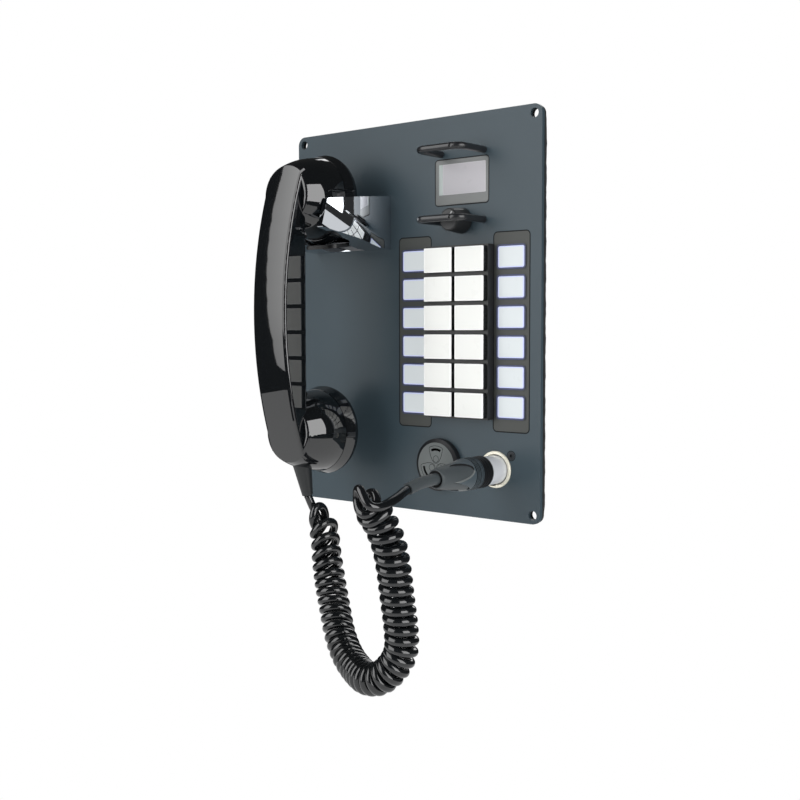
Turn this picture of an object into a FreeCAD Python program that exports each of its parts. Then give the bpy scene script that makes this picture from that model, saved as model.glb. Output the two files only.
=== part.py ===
import FreeCAD, Part
import math
import os

V = FreeCAD.Vector

# Intercom handset station for a console or wall panel, in millimetres.
# X runs right, Z up, and Y runs back through the panel, whose front face is Y 0.
# The origin is the middle of the front panel's front face.

# Clearances
FIT = 0.3            # seated piece in its pocket, on each side
RUN = 0.05           # radial running fit of a shaft or pin
THREAD = 0.05        # radial room between a screw and its hole
REST = 0.3           # moving piece from what it rests on

# Front panel
PANEL_W = 210.0
PANEL_H = 262.0
PANEL_T = 2.5
PANEL_CORNER = 6.0
MOUNT_HOLE_R = 3.0
MOUNT_INSET_X = 5.75
MOUNT_INSET_Z = 5.6

# Gasket between the panel and the console
GASKET_T = 2.7
GASKET_INSET = 0.5

# Rear tray and rear cover
TRAY_INSET_X = 8.0
TRAY_INSET_Z = 13.0
TRAY_DEPTH = 14.5
TRAY_WALL = 1.2
TRAY_CORNER = 4.0
COVER_INSET_X = 22.0
COVER_INSET_Z = 23.0
COVER_DEPTH = 24.0
COVER_WALL = 1.5
COVER_CORNER = 5.0
COVER_LIP = 8.0
STUD_INSET_X = 6.0
STUD_INSET_Z = 10.7
STUD_R = 1.5
STUD_ROOT = 0.5       # how far a stud's root sinks in its plate
STUD_TAIL = 0.6
NUT_FLATS = 5.5
NUT_T = 2.4
COVER_SCREW_X = 50.0
COVER_SCREW_DEPTH = 2.5
COVER_HEAD_R = 2.8
COVER_HEAD_T = 1.8
VENT_W = 3.0
VENT_H = 26.0
VENT_PITCH = 9.0
VENT_COUNT = 7

# Keypad
KEYS_FROM_SIDE = 61.5
KEYS_Z = -10.0
KEY_COLUMNS = 2
KEY_ROWS = 6
KEY_PITCH_X = 25.3
KEY_PITCH_Z = 18.8
KEY_W = 22.6
KEY_H = 16.0
KEY_CORNER = 0.4
KEY_HOLE_CORNER = 0.5
KEY_FRONT = 10.0
KEY_TRAVEL = 2.0
KEY_LENS_T = 0.9
KEY_WALL = 1.2
KEY_ROOF = 1.6
KEY_GAP = 0.25
KEY_LIP = 0.6
KEY_LIP_T = 1.0
PLUNGER_R = 2.0
FRAME_PROUD = 6.3
FRAME_WALL_X = 1.3
FRAME_WALL_Z = 1.0
FRAME_RIB_BACK = 5.5
FRAME_CORNER = 0.8

# Label bezels and the small legend displays in them
BEZEL_OFFSET = 39.2
BEZEL_W = 27.0
BEZEL_H = 126.7
BEZEL_T = 0.8
BEZEL_CORNER = 2.5
LEGEND_PITCH = 19.1
LEGEND_W = 19.9
LEGEND_H = 13.4
LEGEND_CORNER = 1.2
LEGEND_RECESS = 0.1
LEGEND_BODY_W = 23.0
LEGEND_BODY_H = 17.0
WINDOW_GAP = 0.2

# Display
DISPLAY_SHIFT = -0.2
DISPLAY_Z = 88.0
DISPLAY_W = 42.6
DISPLAY_H = 29.4
DISPLAY_CORNER = 2.0
DISPLAY_T = 1.5
DISPLAY_LEDGE = 2.2
DISPLAY_BODY_W = 45.0
DISPLAY_BODY_H = 31.0

# Circuit boards
BOARD_FRONT = 12.0
BOARD_T = 1.6
BOARD_REACH_LEFT = 55.5
BOARD_REACH_RIGHT = 51.5
BOARD_BOTTOM = -79.0
BOARD_TOP = 104.5
STANDOFF_R = 2.75
STANDOFF_SHIFT_X = 34.0
BOARD_SCREW_R = 1.25
BOARD_SCREW_L = 6.0
BOARD_HEAD_R = 2.4
BOARD_HEAD_T = 1.5
SWITCH_SIZE = 6.0
SWITCH_H = 5.0
SWITCH_BUTTON = 1.5
MAIN_BOARD_GAP_X = 9.5
MAIN_BOARD_GAP_Z = 18.5
MAIN_BOARD_Y = 27.0
POST_R = 3.5
POST_INSET = 7.0
POST_THREAD = 8.0
HEADER_SHIFT = -8.5
HEADER_W = 40.0
HEADER_H = 5.0
TERMINAL_W = 46.0
TERMINAL_H = 12.0
TERMINAL_Z = -60.0
TERMINAL_PROUD = 3.0
TERMINAL_WAYS = 8
TERMINAL_HOLE_R = 1.9
TERMINAL_HOLE_DEPTH = 6.0
TRANSFORMER_SIZE = 16.0
TRANSFORMER_T = 10.0
TRANSFORMER_COUNT = 2
TRANSFORMER_PITCH = 28.0

# Guard bars over the display and the knob
GUARD_SPAN = 34.4
GUARD_REACH = 26.0
GUARD_ROD_R = 2.25
GUARD_BEND = 6.0
GUARD_UPPER_Z = 106.6
GUARD_LOWER_Z = 62.3
GUARD_DIMPLE_R = 1.2
GUARD_DIMPLE_X = 11.3
GUARD_DIMPLE_DEPTH = 0.9
GUARD_SCREW_R = 1.45
GUARD_SCREW_DEPTH = 9.0
GUARD_HEAD_R = 2.75
GUARD_HEAD_T = 2.2

# Volume knob and its potentiometer
KNOB_SHIFT = 0.2
KNOB_Z = 62.4
KNOB_R = 8.3
KNOB_TIP_R = 7.15
KNOB_DEPTH = 15.0
KNOB_BEVEL = 0.8
KNOB_LIFT = 0.4
KNOB_RECESS_R = 6.5
KNOB_RECESS_GAP = 1.0
POINTER_W = 1.0
POINTER_L = 5.2
POINTER_DEPTH = 0.5
POINTER_ANGLE = 60.0
BUSH_R = 4.0
BUSH_PROUD = 3.4
SHAFT_R = 3.0
SHAFT_REACH = 12.0
SHAFT_DEPTH = 6.0
SHAFT_FLAT = 1.2
SHAFT_FLAT_GAP = 1.5
POT_R = 8.5
POT_NUT_FLATS = 10.0
POT_NUT_T = 2.0

# Cradle that holds the ear end of the handset
CRADLE_FROM_SIDE = 52.5
CRADLE_W = 71.0
CRADLE_WALL = 3.5
CRADLE_TOP = 82.9
CRADLE_TOP_FRONT = 77.6
CRADLE_BOTTOM = 46.4
CRADLE_SLOPE = 0.211
CRADLE_REACH = 59.8
CRADLE_TOP_REACH = 55.4
CRADLE_TURN = 33.0
CRADLE_NOSE_Y = 56.5
CRADLE_NOSE_HALF = 28.2
CRADLE_EDGE = 1.2
CRADLE_KNEE_Y = 12.0
CRADLE_KNEE_RISE = 1.0
CRADLE_FLOOR = 3.0
CRADLE_BACK = 4.0
FORK_MOUTH = 22.5
FORK_MID = 23.5
FORK_THROAT = 15.0
FORK_MID_Y = 29.0
FORK_THROAT_Y = 20.0
CRADLE_SCREW_R = 1.95
CRADLE_SCREW_X = 24.0
CRADLE_SCREW_TOP = 76.0
CRADLE_SCREW_LOW = 56.0
CRADLE_SCREW_STOP = 1.2
CRADLE_HOLE_STOP = 0.8
CRADLE_HEAD_R = 3.6
CRADLE_HEAD_T = 2.4

# Hook lever, its bracket and its switch
LEVER_W = 28.0
LEVER_T = 2.6
LEVER_SLOPE = 0.137
LEVER_CONTACT_Y = 31.0
LEVER_TIP_Y = 35.0
LEVER_TIP_CORNER = 5.0
LEVER_SWING = 8.0
LEVER_PIVOT_Y = 14.0
LEVER_HUB_R = 3.6
LEVER_ARM_END = 24.0
PIN_R = 1.5
BRACKET_T = 1.5
BRACKET_W = 62.0
BRACKET_LOW = 48.0
BRACKET_HIGH = 80.0
EAR_H = 16.0
EAR_REACH = 24.0
SPRING_R = 5.0
SPRING_WIRE = 1.3
HUB_GAP_Y = 6.0
HUB_GAP_Z = 8.0
SWITCH_W = 20.0
SWITCH_T = 6.4
SWITCH_BODY_H = 4.5
SWITCH_SETBACK = 3.0
BUTTON_SHIFT = 3.5
BUTTON_W = 3.0
BUTTON_T = 2.0

# Handset
HANDLE_W = 30.0
HANDLE_CREST = 82.15
HANDLE_CREST_Z = 1.5
HANDLE_HALF = 91.5
HANDLE_INNER = 61.5
HANDLE_END_T = 4.823
HANDLE_EDGE = 2.0
CUP_OFFSET = 78.5
CUP_TIP_R = 19.2
CUP_TIP_Y = 66.0
CUP_TIP_ROUND = 2.5
CUP_BULGE_R = 25.0
CUP_BULGE_Y = 52.5
CUP_R = 27.8
CUP_RIM_Y = 38.0
CUP_NECK_R = 25.4
CUP_NECK_Y = 33.5
CUP_BORE_R = 22.6
CUP_BORE_Y = 52.0
HANDLE_BORE_W = 20.0
HANDLE_BORE_T = 7.0
HANDLE_WALL = 3.0
WELL_INNER = 13.0
WELL_OUTER = 4.0
CAP_SKIRT_R = 28.0
CAP_R = 30.1
CAP_SHOULDER_Y = 31.0
CAP_FACE_R = 24.0
CAP_FACE_Y = 25.0
CAP_WALL = 2.4
CAP_RIM_W = 4.0
CAP_STEP = 1.2
CAP_DISH = 2.2
SOUND_HOLE_R = 1.1
SOUND_RING = 6.0
CAPSULE_R = 21.5
CAPSULE_T = 6.0
CAPSULE_HOLE_R = 8.0
CAPSULE_LIP = 1.2

# Strain relief under the mouth end, tilted towards the panel
RELIEF_TOP_Y = 52.0
RELIEF_TOP_DROP = 21.5
RELIEF_END_Y = 46.9
RELIEF_END_DROP = 43.4
RELIEF_R = 6.5
RELIEF_END_R = 3.7
RELIEF_BORE_R = 2.95
RELIEF_BORE_DEPTH = 8.0

# Sounder below the keypad
LOW_ROW_Z = -98.2
SOUNDER_SHIFT = -17.6
SOUNDER_R = 17.4
SOUNDER_PROUD = 5.0
SOUNDER_BEVEL = 1.2
SOUNDER_FACE_T = 2.0
SOUNDER_BARREL_R = 14.0
SOUNDER_BARREL_WALL = 1.8
SOUNDER_BACK = 12.0
SOUNDER_NUT_R = 17.5
SOUNDER_NUT_T = 3.0
SOUND_SLOT_R = 10.3
SOUND_SLOT_W = 1.6
SOUND_SLOT_ANGLE = 44.0
SOUND_SLOT_COUNT = 3
SOUNDER_FLOOR_T = 1.5

# Handset socket
SOCKET_SHIFT = 27.4
SOCKET_R = 11.94
SOCKET_BORE_R = 9.6
SOCKET_PROUD = 1.2
SOCKET_FLOOR_Y = 9.0
SOCKET_BACK = 15.2
SOCKET_BODY_R = 11.4
SOCKET_FLANGE_W = 31.0
SOCKET_FLANGE_H = 25.0
SOCKET_FLANGE_T = 2.0
SOCKET_SCREW_X = 12.0
SOCKET_SCREW_Z = 9.5
SOCKET_SCREW_R = 1.5
SOCKET_HEAD_R = 2.7
SOCKET_HEAD_T = 1.3
SOCKET_HEAD_SINK = 0.1
SOCKET_SCREW_TAIL = 4.0
SOCKET_DRIVE_R = 1.1
SOCKET_LIP = 0.5
SOCKET_EDGE = 0.4
SOCKET_FLANGE_CORNER = 2.0
CONTACT_COUNT = 5
CONTACT_R = 0.8
CONTACT_CIRCLE_R = 4.6
CONTACT_LENGTH = 6.0
CARRIER_GAP = 2.0
CARRIER_ROOT = 1.0

# Plug on the handset cord
PLUG_R = 9.3
PLUG_WALL = 1.2
PLUG_NOSE = 7.5
COLLAR_Y = 16.5
COLLAR_R = 10.2
COLLAR_RIBS = 5
COLLAR_RIB_PITCH = 2.6
COLLAR_GROOVE = 0.5
COLLAR_LAND = 1.4
COLLAR_SLOPE = 0.3
COLLAR_GROOVE_W = 0.7
BACKSHELL_Y = 31.0
BACKSHELL_R = 10.0
BACKSHELL_END_R = 8.5
BACKSHELL_WALL = 0.9
RING_COUNT = 3
RING_PITCH = 1.4
RING_LAND = 0.8
RING_SLOPE = 0.2
RING_GROOVE_W = 0.4
RING_DEPTH = 0.35
PETAL_ROOT = 37.0
PETAL_TIP = 50.0
PETAL_COUNT = 4
PETAL_ANGLE = 58.0
PETAL_LAND = 1.2
PETAL_SHOULDER = 4.0
PETAL_SHOULDER_SHARE = 0.82
PETAL_FLARE = 0.6
PETAL_CUT = 2.0
BOOT_END = 65.0
BOOT_END_R = 5.5
BOOT_LIP = 0.8
BOOT_LIP_IN = 0.7
LATCH_L = 6.0
LATCH_W = 1.6
LATCH_Y = 5.0
LATCH_PROUD = 0.5
LATCH_TRAVEL = 0.8

# Cord
WIRE_R = 2.65
SLEEVE_R = 3.6
COIL_R = 10.3
SLEEVE_BEND = [(0.0, -77.0, -0.7), (-0.1, -89.0, -3.3)]
PLUG_ROUTE = [(70.8, -89.0, -101.5), (73.0, -99.5, -103.5), (75.0, -109.0, -105.5),
              (65.0, -118.0, -106.5)]
COIL_ROUTE = [(-45.0, -43.0, -134.5), (-41.5, -41.0, -143.5), (-37.5, -44.0, -161.0),
              (-31.5, -47.0, -178.5), (-22.0, -52.5, -194.0), (-11.5, -60.0, -207.0),
              (2.0, -67.0, -218.0), (18.0, -74.5, -223.0), (35.0, -84.5, -223.0),
              (51.5, -88.0, -218.0), (64.0, -86.0, -202.0), (66.0, -89.5, -184.0),
              (66.0, -93.5, -166.0), (67.0, -97.5, -148.0), (69.5, -105.0, -130.5),
              (67.0, -112.5, -114.5), (65.0, -118.0, -106.5)]
HANDSET_ROUTE = [(-52.5, -46.6, -121.0), (-51.2, -45.2, -127.0), (-45.0, -43.0, -134.5)]

# Places that follow from the sizes above
KEYS_X = PANEL_W / 2 - KEYS_FROM_SIDE
CRADLE_X = CRADLE_FROM_SIDE - PANEL_W / 2
DISPLAY_X = KEYS_X + DISPLAY_SHIFT
KNOB_X = KEYS_X + KNOB_SHIFT
GUARD_X = KNOB_X
SOUNDER_X = KEYS_X + SOUNDER_SHIFT
SOUNDER_Z = LOW_ROW_Z
SOCKET_X = KEYS_X + SOCKET_SHIFT
SOCKET_Z = LOW_ROW_Z
TRAY_W = PANEL_W - 2 * TRAY_INSET_X
TRAY_H = PANEL_H - 2 * TRAY_INSET_Z
STUD_X = TRAY_W / 2 - STUD_INSET_X
STUD_Z = TRAY_H / 2 - STUD_INSET_Z
BOARD_LEFT = KEYS_X - BOARD_REACH_LEFT
BOARD_RIGHT = KEYS_X + BOARD_REACH_RIGHT
HEADER_X = KEYS_X + HEADER_SHIFT
COVER_W = TRAY_W - 2 * COVER_INSET_X
COVER_H = TRAY_H - 2 * COVER_INSET_Z
MAIN_BOARD_W = COVER_W - 2 * COVER_WALL - 2 * MAIN_BOARD_GAP_X
MAIN_BOARD_H = COVER_H - 2 * COVER_WALL - 2 * MAIN_BOARD_GAP_Z
POST_X = MAIN_BOARD_W / 2 - POST_INSET
POST_Z = MAIN_BOARD_H / 2 - POST_INSET
GASKET_BACK = PANEL_T + GASKET_T
TRAY_BACK = PANEL_T + TRAY_DEPTH
COVER_BACK = TRAY_BACK + COVER_DEPTH
CELL_W = KEY_W + 2 * KEY_GAP
CELL_H = KEY_H + 2 * KEY_GAP
CELLS_W = (KEY_COLUMNS - 1) * KEY_PITCH_X + CELL_W
CELLS_H = (KEY_ROWS - 1) * KEY_PITCH_Z + CELL_H
KEY_HOLE_W = CELLS_W + 2 * KEY_GAP
KEY_HOLE_H = CELLS_H + 2 * KEY_GAP
RIB_BACK = PANEL_T + FRAME_RIB_BACK
KEY_STOP = RIB_BACK + REST
KEY_BACK = KEY_STOP + KEY_LIP_T
SWITCH_FRONT = BOARD_FRONT - SWITCH_H
BEZEL_XS = (KEYS_X - BEZEL_OFFSET, KEYS_X + BEZEL_OFFSET)
LEVER_CONTACT_Z = HANDLE_CREST_Z + CUP_OFFSET - CAP_R - REST
MOUNT_XS = (MOUNT_INSET_X - PANEL_W / 2, PANEL_W / 2 - MOUNT_INSET_X)
MOUNT_ZS = (MOUNT_INSET_Z - PANEL_H / 2, PANEL_H / 2 - MOUNT_INSET_Z)
EAR_Z = HANDLE_CREST_Z + CUP_OFFSET
MOUTH_Z = HANDLE_CREST_Z - CUP_OFFSET
RELIEF_TOP = (CRADLE_X, -RELIEF_TOP_Y, MOUTH_Z - RELIEF_TOP_DROP)
RELIEF_END = (CRADLE_X, -RELIEF_END_Y, MOUTH_Z - RELIEF_END_DROP)
SLEEVE_ROUTE = [(SOCKET_X, -BOOT_END, SOCKET_Z)]
SLEEVE_ROUTE += [(SOCKET_X + dx, y, SOCKET_Z + dz) for dx, y, dz in SLEEVE_BEND]
CAP_BACK = CAP_FACE_Y + CAP_DISH + CAP_WALL


def box(x0, x1, y0, y1, z0, z1):
    return Part.makeBox(x1 - x0, y1 - y0, z1 - z0, V(x0, y0, z0))


def rod(x, z, radius, y0, y1):
    return Part.makeCylinder(radius, y1 - y0, V(x, y0, z), V(0, 1, 0))


def plate(x, z, width, height, y0, y1, corner):
    # A plate parallel to the panel with its four corners rounded
    solid = box(x - width / 2, x + width / 2, y0, y1, z - height / 2, z + height / 2)
    edges = [e for e in solid.Edges if abs(e.tangentAt(e.FirstParameter).y) > 0.99]
    return solid.makeFillet(corner, edges)


def turned(x, z, profile):
    # Points are (y, radius) and the axis runs along Y through (x, z)
    points = [V(x + radius, y, z) for y, radius in profile]
    face = Part.Face(Part.makePolygon(points + points[:1]))
    return face.revolve(V(x, 0, z), V(0, 1, 0), 360)


def hexagon(x, z, flats, y0, y1, bore):
    radius = flats / math.sqrt(3)
    corners = []
    for k in range(6):
        a = math.radians(60 * k)
        corners.append(V(x + radius * math.cos(a), y0, z + radius * math.sin(a)))
    face = Part.Face(Part.makePolygon(corners + corners[:1]))
    return face.extrude(V(0, y1 - y0, 0)).cut(rod(x, z, bore, y0, y1))


def side_slab(points, x0, x1):
    # An outline of (y, z) points, extruded along X
    corners = [V(x0, y, z) for y, z in points]
    face = Part.Face(Part.makePolygon(corners + corners[:1]))
    return face.extrude(V(x1 - x0, 0, 0))


def grid(count, pitch):
    return [(k - (count - 1) / 2) * pitch for k in range(count)]


def joined(solids):
    return solids[0].fuse(solids[1:]).removeSplitter()


def without(solid, tools):
    return solid.cut(Part.makeCompound(tools))


def pan_screw(x, z, head_y, radius, tip_y, head_r, head_t):
    # Head towards the back, tip towards the front
    return joined([rod(x, z, radius, tip_y, head_y), rod(x, z, head_r, head_y, head_y + head_t)])


def route_path(points, name):
    # Straight runs joined by tangent arcs that are as large as the runs allow
    points = [V(*p) for p in points]
    edges = []
    radii = []
    start = points[0]
    for before, here, after in zip(points, points[1:], points[2:]):
        run = min((here - before).Length, (after - here).Length)
        into = (before - here).normalize()
        out = (after - here).normalize()
        turn = math.pi - into.getAngle(out)
        cut = 0.45 * run
        radii.append(cut / math.tan(turn / 2))
        first = here + into * cut
        last = here + out * cut
        half = (into + out).normalize()
        middle = here + half * (cut / math.cos((math.pi - turn) / 2) - radii[-1])
        edges.append(Part.makeLine(start, first))
        edges.append(Part.Arc(first, middle, last).toShape())
        start = last
    edges.append(Part.makeLine(start, points[-1]))
    print(name, "radii", [round(r, 1) for r in radii])
    return Part.Wire(edges)


def tube(points, radius, name):
    path = route_path(points, name)
    start = V(*points[0])
    heading = V(*points[1]) - start
    ring = Part.Wire(Part.makeCircle(radius, start, heading))
    solid = path.makePipeShell([ring], True, False)
    expected = math.pi * radius ** 2 * path.Length
    print(name, "length", round(path.Length, 1), "volume ratio", round(solid.Volume / expected, 4))
    return solid


# Panel group

def key_places():
    places = []
    for dz in reversed(grid(KEY_ROWS, KEY_PITCH_Z)):
        for dx in grid(KEY_COLUMNS, KEY_PITCH_X):
            places.append((KEYS_X + dx, KEYS_Z + dz))
    return places


def legend_places(x):
    return [(x, KEYS_Z + dz) for dz in grid(KEY_ROWS, LEGEND_PITCH)]


def guard_feet():
    feet = []
    for z in (GUARD_UPPER_Z, GUARD_LOWER_Z):
        feet.append((GUARD_X - GUARD_SPAN / 2, z))
        feet.append((GUARD_X + GUARD_SPAN / 2, z))
    return feet


def cradle_screw_places():
    places = []
    for z in (CRADLE_SCREW_LOW, CRADLE_SCREW_TOP):
        places.append((CRADLE_X - CRADLE_SCREW_X, z))
        places.append((CRADLE_X + CRADLE_SCREW_X, z))
    return places


def socket_screw_places():
    return [(SOCKET_X + SOCKET_SCREW_X, SOCKET_Z + SOCKET_SCREW_Z),
            (SOCKET_X - SOCKET_SCREW_X, SOCKET_Z - SOCKET_SCREW_Z)]


def stud_places():
    return [(x, z) for x in (-STUD_X, 0.0, STUD_X) for z in (-STUD_Z, STUD_Z)]


def mount_places():
    return [(x, z) for x in MOUNT_XS for z in MOUNT_ZS]


def standoff_places():
    left = BOARD_LEFT + 2 * STANDOFF_R
    right = BOARD_RIGHT - 2 * STANDOFF_R
    low = BOARD_BOTTOM + 2 * STANDOFF_R
    high = BOARD_TOP - 2 * STANDOFF_R
    return [(left, low), (KEYS_X, low), (right, low), (left, high), (right, high),
            (KNOB_X - STANDOFF_SHIFT_X, KNOB_Z), (KNOB_X + STANDOFF_SHIFT_X, KNOB_Z)]


def lever_top(y):
    # Height of the lever's top face, which slopes down towards its tip
    return LEVER_CONTACT_Z + LEVER_SLOPE * (y + LEVER_CONTACT_Y)


def lever_slot(y0, y1):
    swing = math.radians(LEVER_SWING)
    rise = (LEVER_PIVOT_Y - y0) * math.sin(swing)
    low = lever_top(y0) - LEVER_T - 2 * REST
    high = lever_top(y1) + rise + 2 * REST
    half = LEVER_W / 2 + 2 * REST
    return box(CRADLE_X - half, CRADLE_X + half, y0, y1, low, high)


def front_panel():
    panel = plate(0, 0, PANEL_W, PANEL_H, 0, PANEL_T, PANEL_CORNER)
    cuts = [rod(x, z, MOUNT_HOLE_R, -1, PANEL_T + 1) for x, z in mount_places()]
    for x in BEZEL_XS:
        width = BEZEL_W + 2 * FIT
        cuts.append(plate(x, KEYS_Z, width, BEZEL_H + 2 * FIT, -1, BEZEL_T, BEZEL_CORNER + FIT))
        for wx, wz in legend_places(x):
            w = LEGEND_W + 4 * WINDOW_GAP
            h = LEGEND_H + 4 * WINDOW_GAP
            cuts.append(box(wx - w / 2, wx + w / 2, 0, PANEL_T + 1, wz - h / 2, wz + h / 2))
    cuts.append(plate(DISPLAY_X, DISPLAY_Z, DISPLAY_W + 2 * FIT, DISPLAY_H + 2 * FIT,
                      -1, DISPLAY_T, DISPLAY_CORNER + FIT))
    cuts.append(plate(DISPLAY_X, DISPLAY_Z, DISPLAY_W - 2 * DISPLAY_LEDGE, DISPLAY_H - 2 * DISPLAY_LEDGE,
                      0, PANEL_T + 1, DISPLAY_CORNER / 2))
    cuts.append(plate(KEYS_X, KEYS_Z, KEY_HOLE_W, KEY_HOLE_H, -1, PANEL_T + 1, KEY_HOLE_CORNER))
    cuts.append(rod(KNOB_X, KNOB_Z, BUSH_R + 2 * THREAD, -1, PANEL_T + 1))
    cuts += [rod(x, z, GUARD_SCREW_R + 4 * THREAD, -1, PANEL_T + 1) for x, z in guard_feet()]
    cuts += [rod(x, z, CRADLE_SCREW_R + 4 * THREAD, -1, PANEL_T + 1) for x, z in cradle_screw_places()]
    cuts.append(lever_slot(-1, PANEL_T + 1))
    cuts.append(rod(SOUNDER_X, SOUNDER_Z, SOUNDER_BARREL_R + 4 * THREAD, -1, PANEL_T + 1))
    cuts.append(rod(SOCKET_X, SOCKET_Z, SOCKET_R + THREAD, -1, PANEL_T + 1))
    for x, z in socket_screw_places():
        sink = SOCKET_HEAD_SINK + SOCKET_HEAD_T
        cuts.append(turned(x, z, [(-1, 0), (-1, SOCKET_HEAD_R + THREAD), (0, SOCKET_HEAD_R + THREAD),
                                  (sink, SOCKET_SCREW_R + THREAD), (PANEL_T + 1, SOCKET_SCREW_R + THREAD),
                                  (PANEL_T + 1, 0)]))
    panel = without(panel, cuts)
    studs = [rod(x, z, STUD_R, PANEL_T - STUD_ROOT, TRAY_BACK + NUT_T + STUD_TAIL) for x, z in stud_places()]
    standoffs = [rod(x, z, STANDOFF_R, PANEL_T - STUD_ROOT, BOARD_FRONT) for x, z in standoff_places()]
    threads = [rod(x, z, BOARD_SCREW_R + THREAD, BOARD_FRONT - BOARD_SCREW_L, BOARD_FRONT + 1)
               for x, z in standoff_places()]
    return without(joined([panel] + studs + standoffs), threads)


def panel_gasket():
    width = PANEL_W - 2 * GASKET_INSET
    height = PANEL_H - 2 * GASKET_INSET
    sheet = plate(0, 0, width, height, PANEL_T, GASKET_BACK, PANEL_CORNER - GASKET_INSET)
    inside = plate(0, 0, TRAY_W + 2 * FIT, TRAY_H + 2 * FIT, PANEL_T - 1, GASKET_BACK + 1, TRAY_CORNER + FIT)
    holes = [rod(x, z, MOUNT_HOLE_R + FIT, PANEL_T - 1, GASKET_BACK + 1) for x, z in mount_places()]
    return without(sheet, [inside] + holes)


def rear_tray():
    outer = plate(0, 0, TRAY_W, TRAY_H, PANEL_T, TRAY_BACK, TRAY_CORNER)
    inner = plate(0, 0, TRAY_W - 2 * TRAY_WALL, TRAY_H - 2 * TRAY_WALL, PANEL_T - 1, TRAY_BACK - TRAY_WALL,
                  TRAY_CORNER - TRAY_WALL)
    mouth = plate(0, 0, COVER_W - 2 * COVER_WALL, COVER_H - 2 * COVER_WALL, PANEL_T, TRAY_BACK + 1,
                  COVER_CORNER - COVER_WALL)
    holes = [rod(x, z, STUD_R + THREAD, PANEL_T, TRAY_BACK + 1) for x, z in stud_places()]
    holes += [rod(x, z, STUD_R + THREAD, PANEL_T, TRAY_BACK + 1) for x, z in cover_screw_places()]
    return without(outer, [inner, mouth] + holes)


def cover_screw_places():
    x = COVER_W / 2 + COVER_LIP / 2
    z = COVER_H / 2 + COVER_LIP / 2
    places = [(-x, -COVER_SCREW_X), (-x, COVER_SCREW_X), (x, -COVER_SCREW_X), (x, COVER_SCREW_X)]
    return places + [(-COVER_SCREW_X / 2, -z), (COVER_SCREW_X / 2, -z),
                     (-COVER_SCREW_X / 2, z), (COVER_SCREW_X / 2, z)]


def tray_nuts():
    return Part.makeCompound([hexagon(x, z, NUT_FLATS, TRAY_BACK, TRAY_BACK + NUT_T, STUD_R + THREAD)
                              for x, z in stud_places()])


def rear_cover():
    lip = plate(0, 0, COVER_W + 2 * COVER_LIP, COVER_H + 2 * COVER_LIP, TRAY_BACK, TRAY_BACK + COVER_WALL,
                COVER_CORNER)
    body = plate(0, 0, COVER_W, COVER_H, TRAY_BACK, COVER_BACK, COVER_CORNER)
    inner = plate(0, 0, COVER_W - 2 * COVER_WALL, COVER_H - 2 * COVER_WALL, TRAY_BACK - 1,
                  COVER_BACK - COVER_WALL, COVER_CORNER - COVER_WALL)
    shell = joined([lip, body]).cut(inner)
    board_back = MAIN_BOARD_Y + BOARD_T
    posts = [rod(x, z, POST_R, board_back, COVER_BACK - COVER_WALL / 2) for x, z in post_places()]
    shell = joined([shell] + posts)
    cuts = [rod(x, z, STUD_R + THREAD, TRAY_BACK - 1, TRAY_BACK + COVER_WALL + 1)
            for x, z in cover_screw_places()]
    cuts += [rod(x, z, BOARD_SCREW_R + THREAD, board_back - 1, board_back + POST_THREAD)
             for x, z in post_places()]
    for x, z in stud_places():
        cuts.append(rod(x, z, NUT_FLATS / math.sqrt(3) + FIT, TRAY_BACK - 1, TRAY_BACK + COVER_WALL + 1))
    for dx in grid(VENT_COUNT, VENT_PITCH):
        cuts.append(plate(dx, COVER_H / 4, VENT_W, VENT_H, COVER_BACK - COVER_WALL - 1, COVER_BACK + 1,
                          VENT_W / 2 - THREAD))
    cuts.append(box(-TERMINAL_W / 2 - FIT, TERMINAL_W / 2 + FIT, COVER_BACK - COVER_WALL - 1, COVER_BACK + 1,
                    TERMINAL_Z - TERMINAL_H / 2 - FIT, TERMINAL_Z + TERMINAL_H / 2 + FIT))
    return without(shell, cuts)


def rear_cover_screws():
    head_y = TRAY_BACK + COVER_WALL
    tip_y = TRAY_BACK - COVER_SCREW_DEPTH
    return Part.makeCompound([pan_screw(x, z, head_y, STUD_R, tip_y, COVER_HEAD_R, COVER_HEAD_T)
                              for x, z in cover_screw_places()])


# Keypad group

def key_frame():
    width = CELLS_W + 2 * FRAME_WALL_X
    height = CELLS_H + 2 * FRAME_WALL_Z
    block = plate(KEYS_X, KEYS_Z, width, height, -FRAME_PROUD, 0, FRAME_CORNER)
    rib_x = KEY_PITCH_X - CELL_W
    rib_z = KEY_PITCH_Z - CELL_H
    half_w = KEY_HOLE_W / 2 - THREAD
    half_h = KEY_HOLE_H / 2 - THREAD
    ribs = []
    for dx in grid(KEY_COLUMNS - 1, KEY_PITCH_X):
        ribs.append(box(KEYS_X + dx - rib_x / 2, KEYS_X + dx + rib_x / 2, -FRAME_PROUD / 2, RIB_BACK,
                        KEYS_Z - half_h, KEYS_Z + half_h))
    for dz in grid(KEY_ROWS - 1, KEY_PITCH_Z):
        ribs.append(box(KEYS_X - half_w, KEYS_X + half_w, -FRAME_PROUD / 2, RIB_BACK,
                        KEYS_Z + dz - rib_z / 2, KEYS_Z + dz + rib_z / 2))
    cells = [box(x - CELL_W / 2, x + CELL_W / 2, -FRAME_PROUD - 1, RIB_BACK + 1,
                 z - CELL_H / 2, z + CELL_H / 2) for x, z in key_places()]
    return without(joined([block] + ribs), cells)


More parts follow.
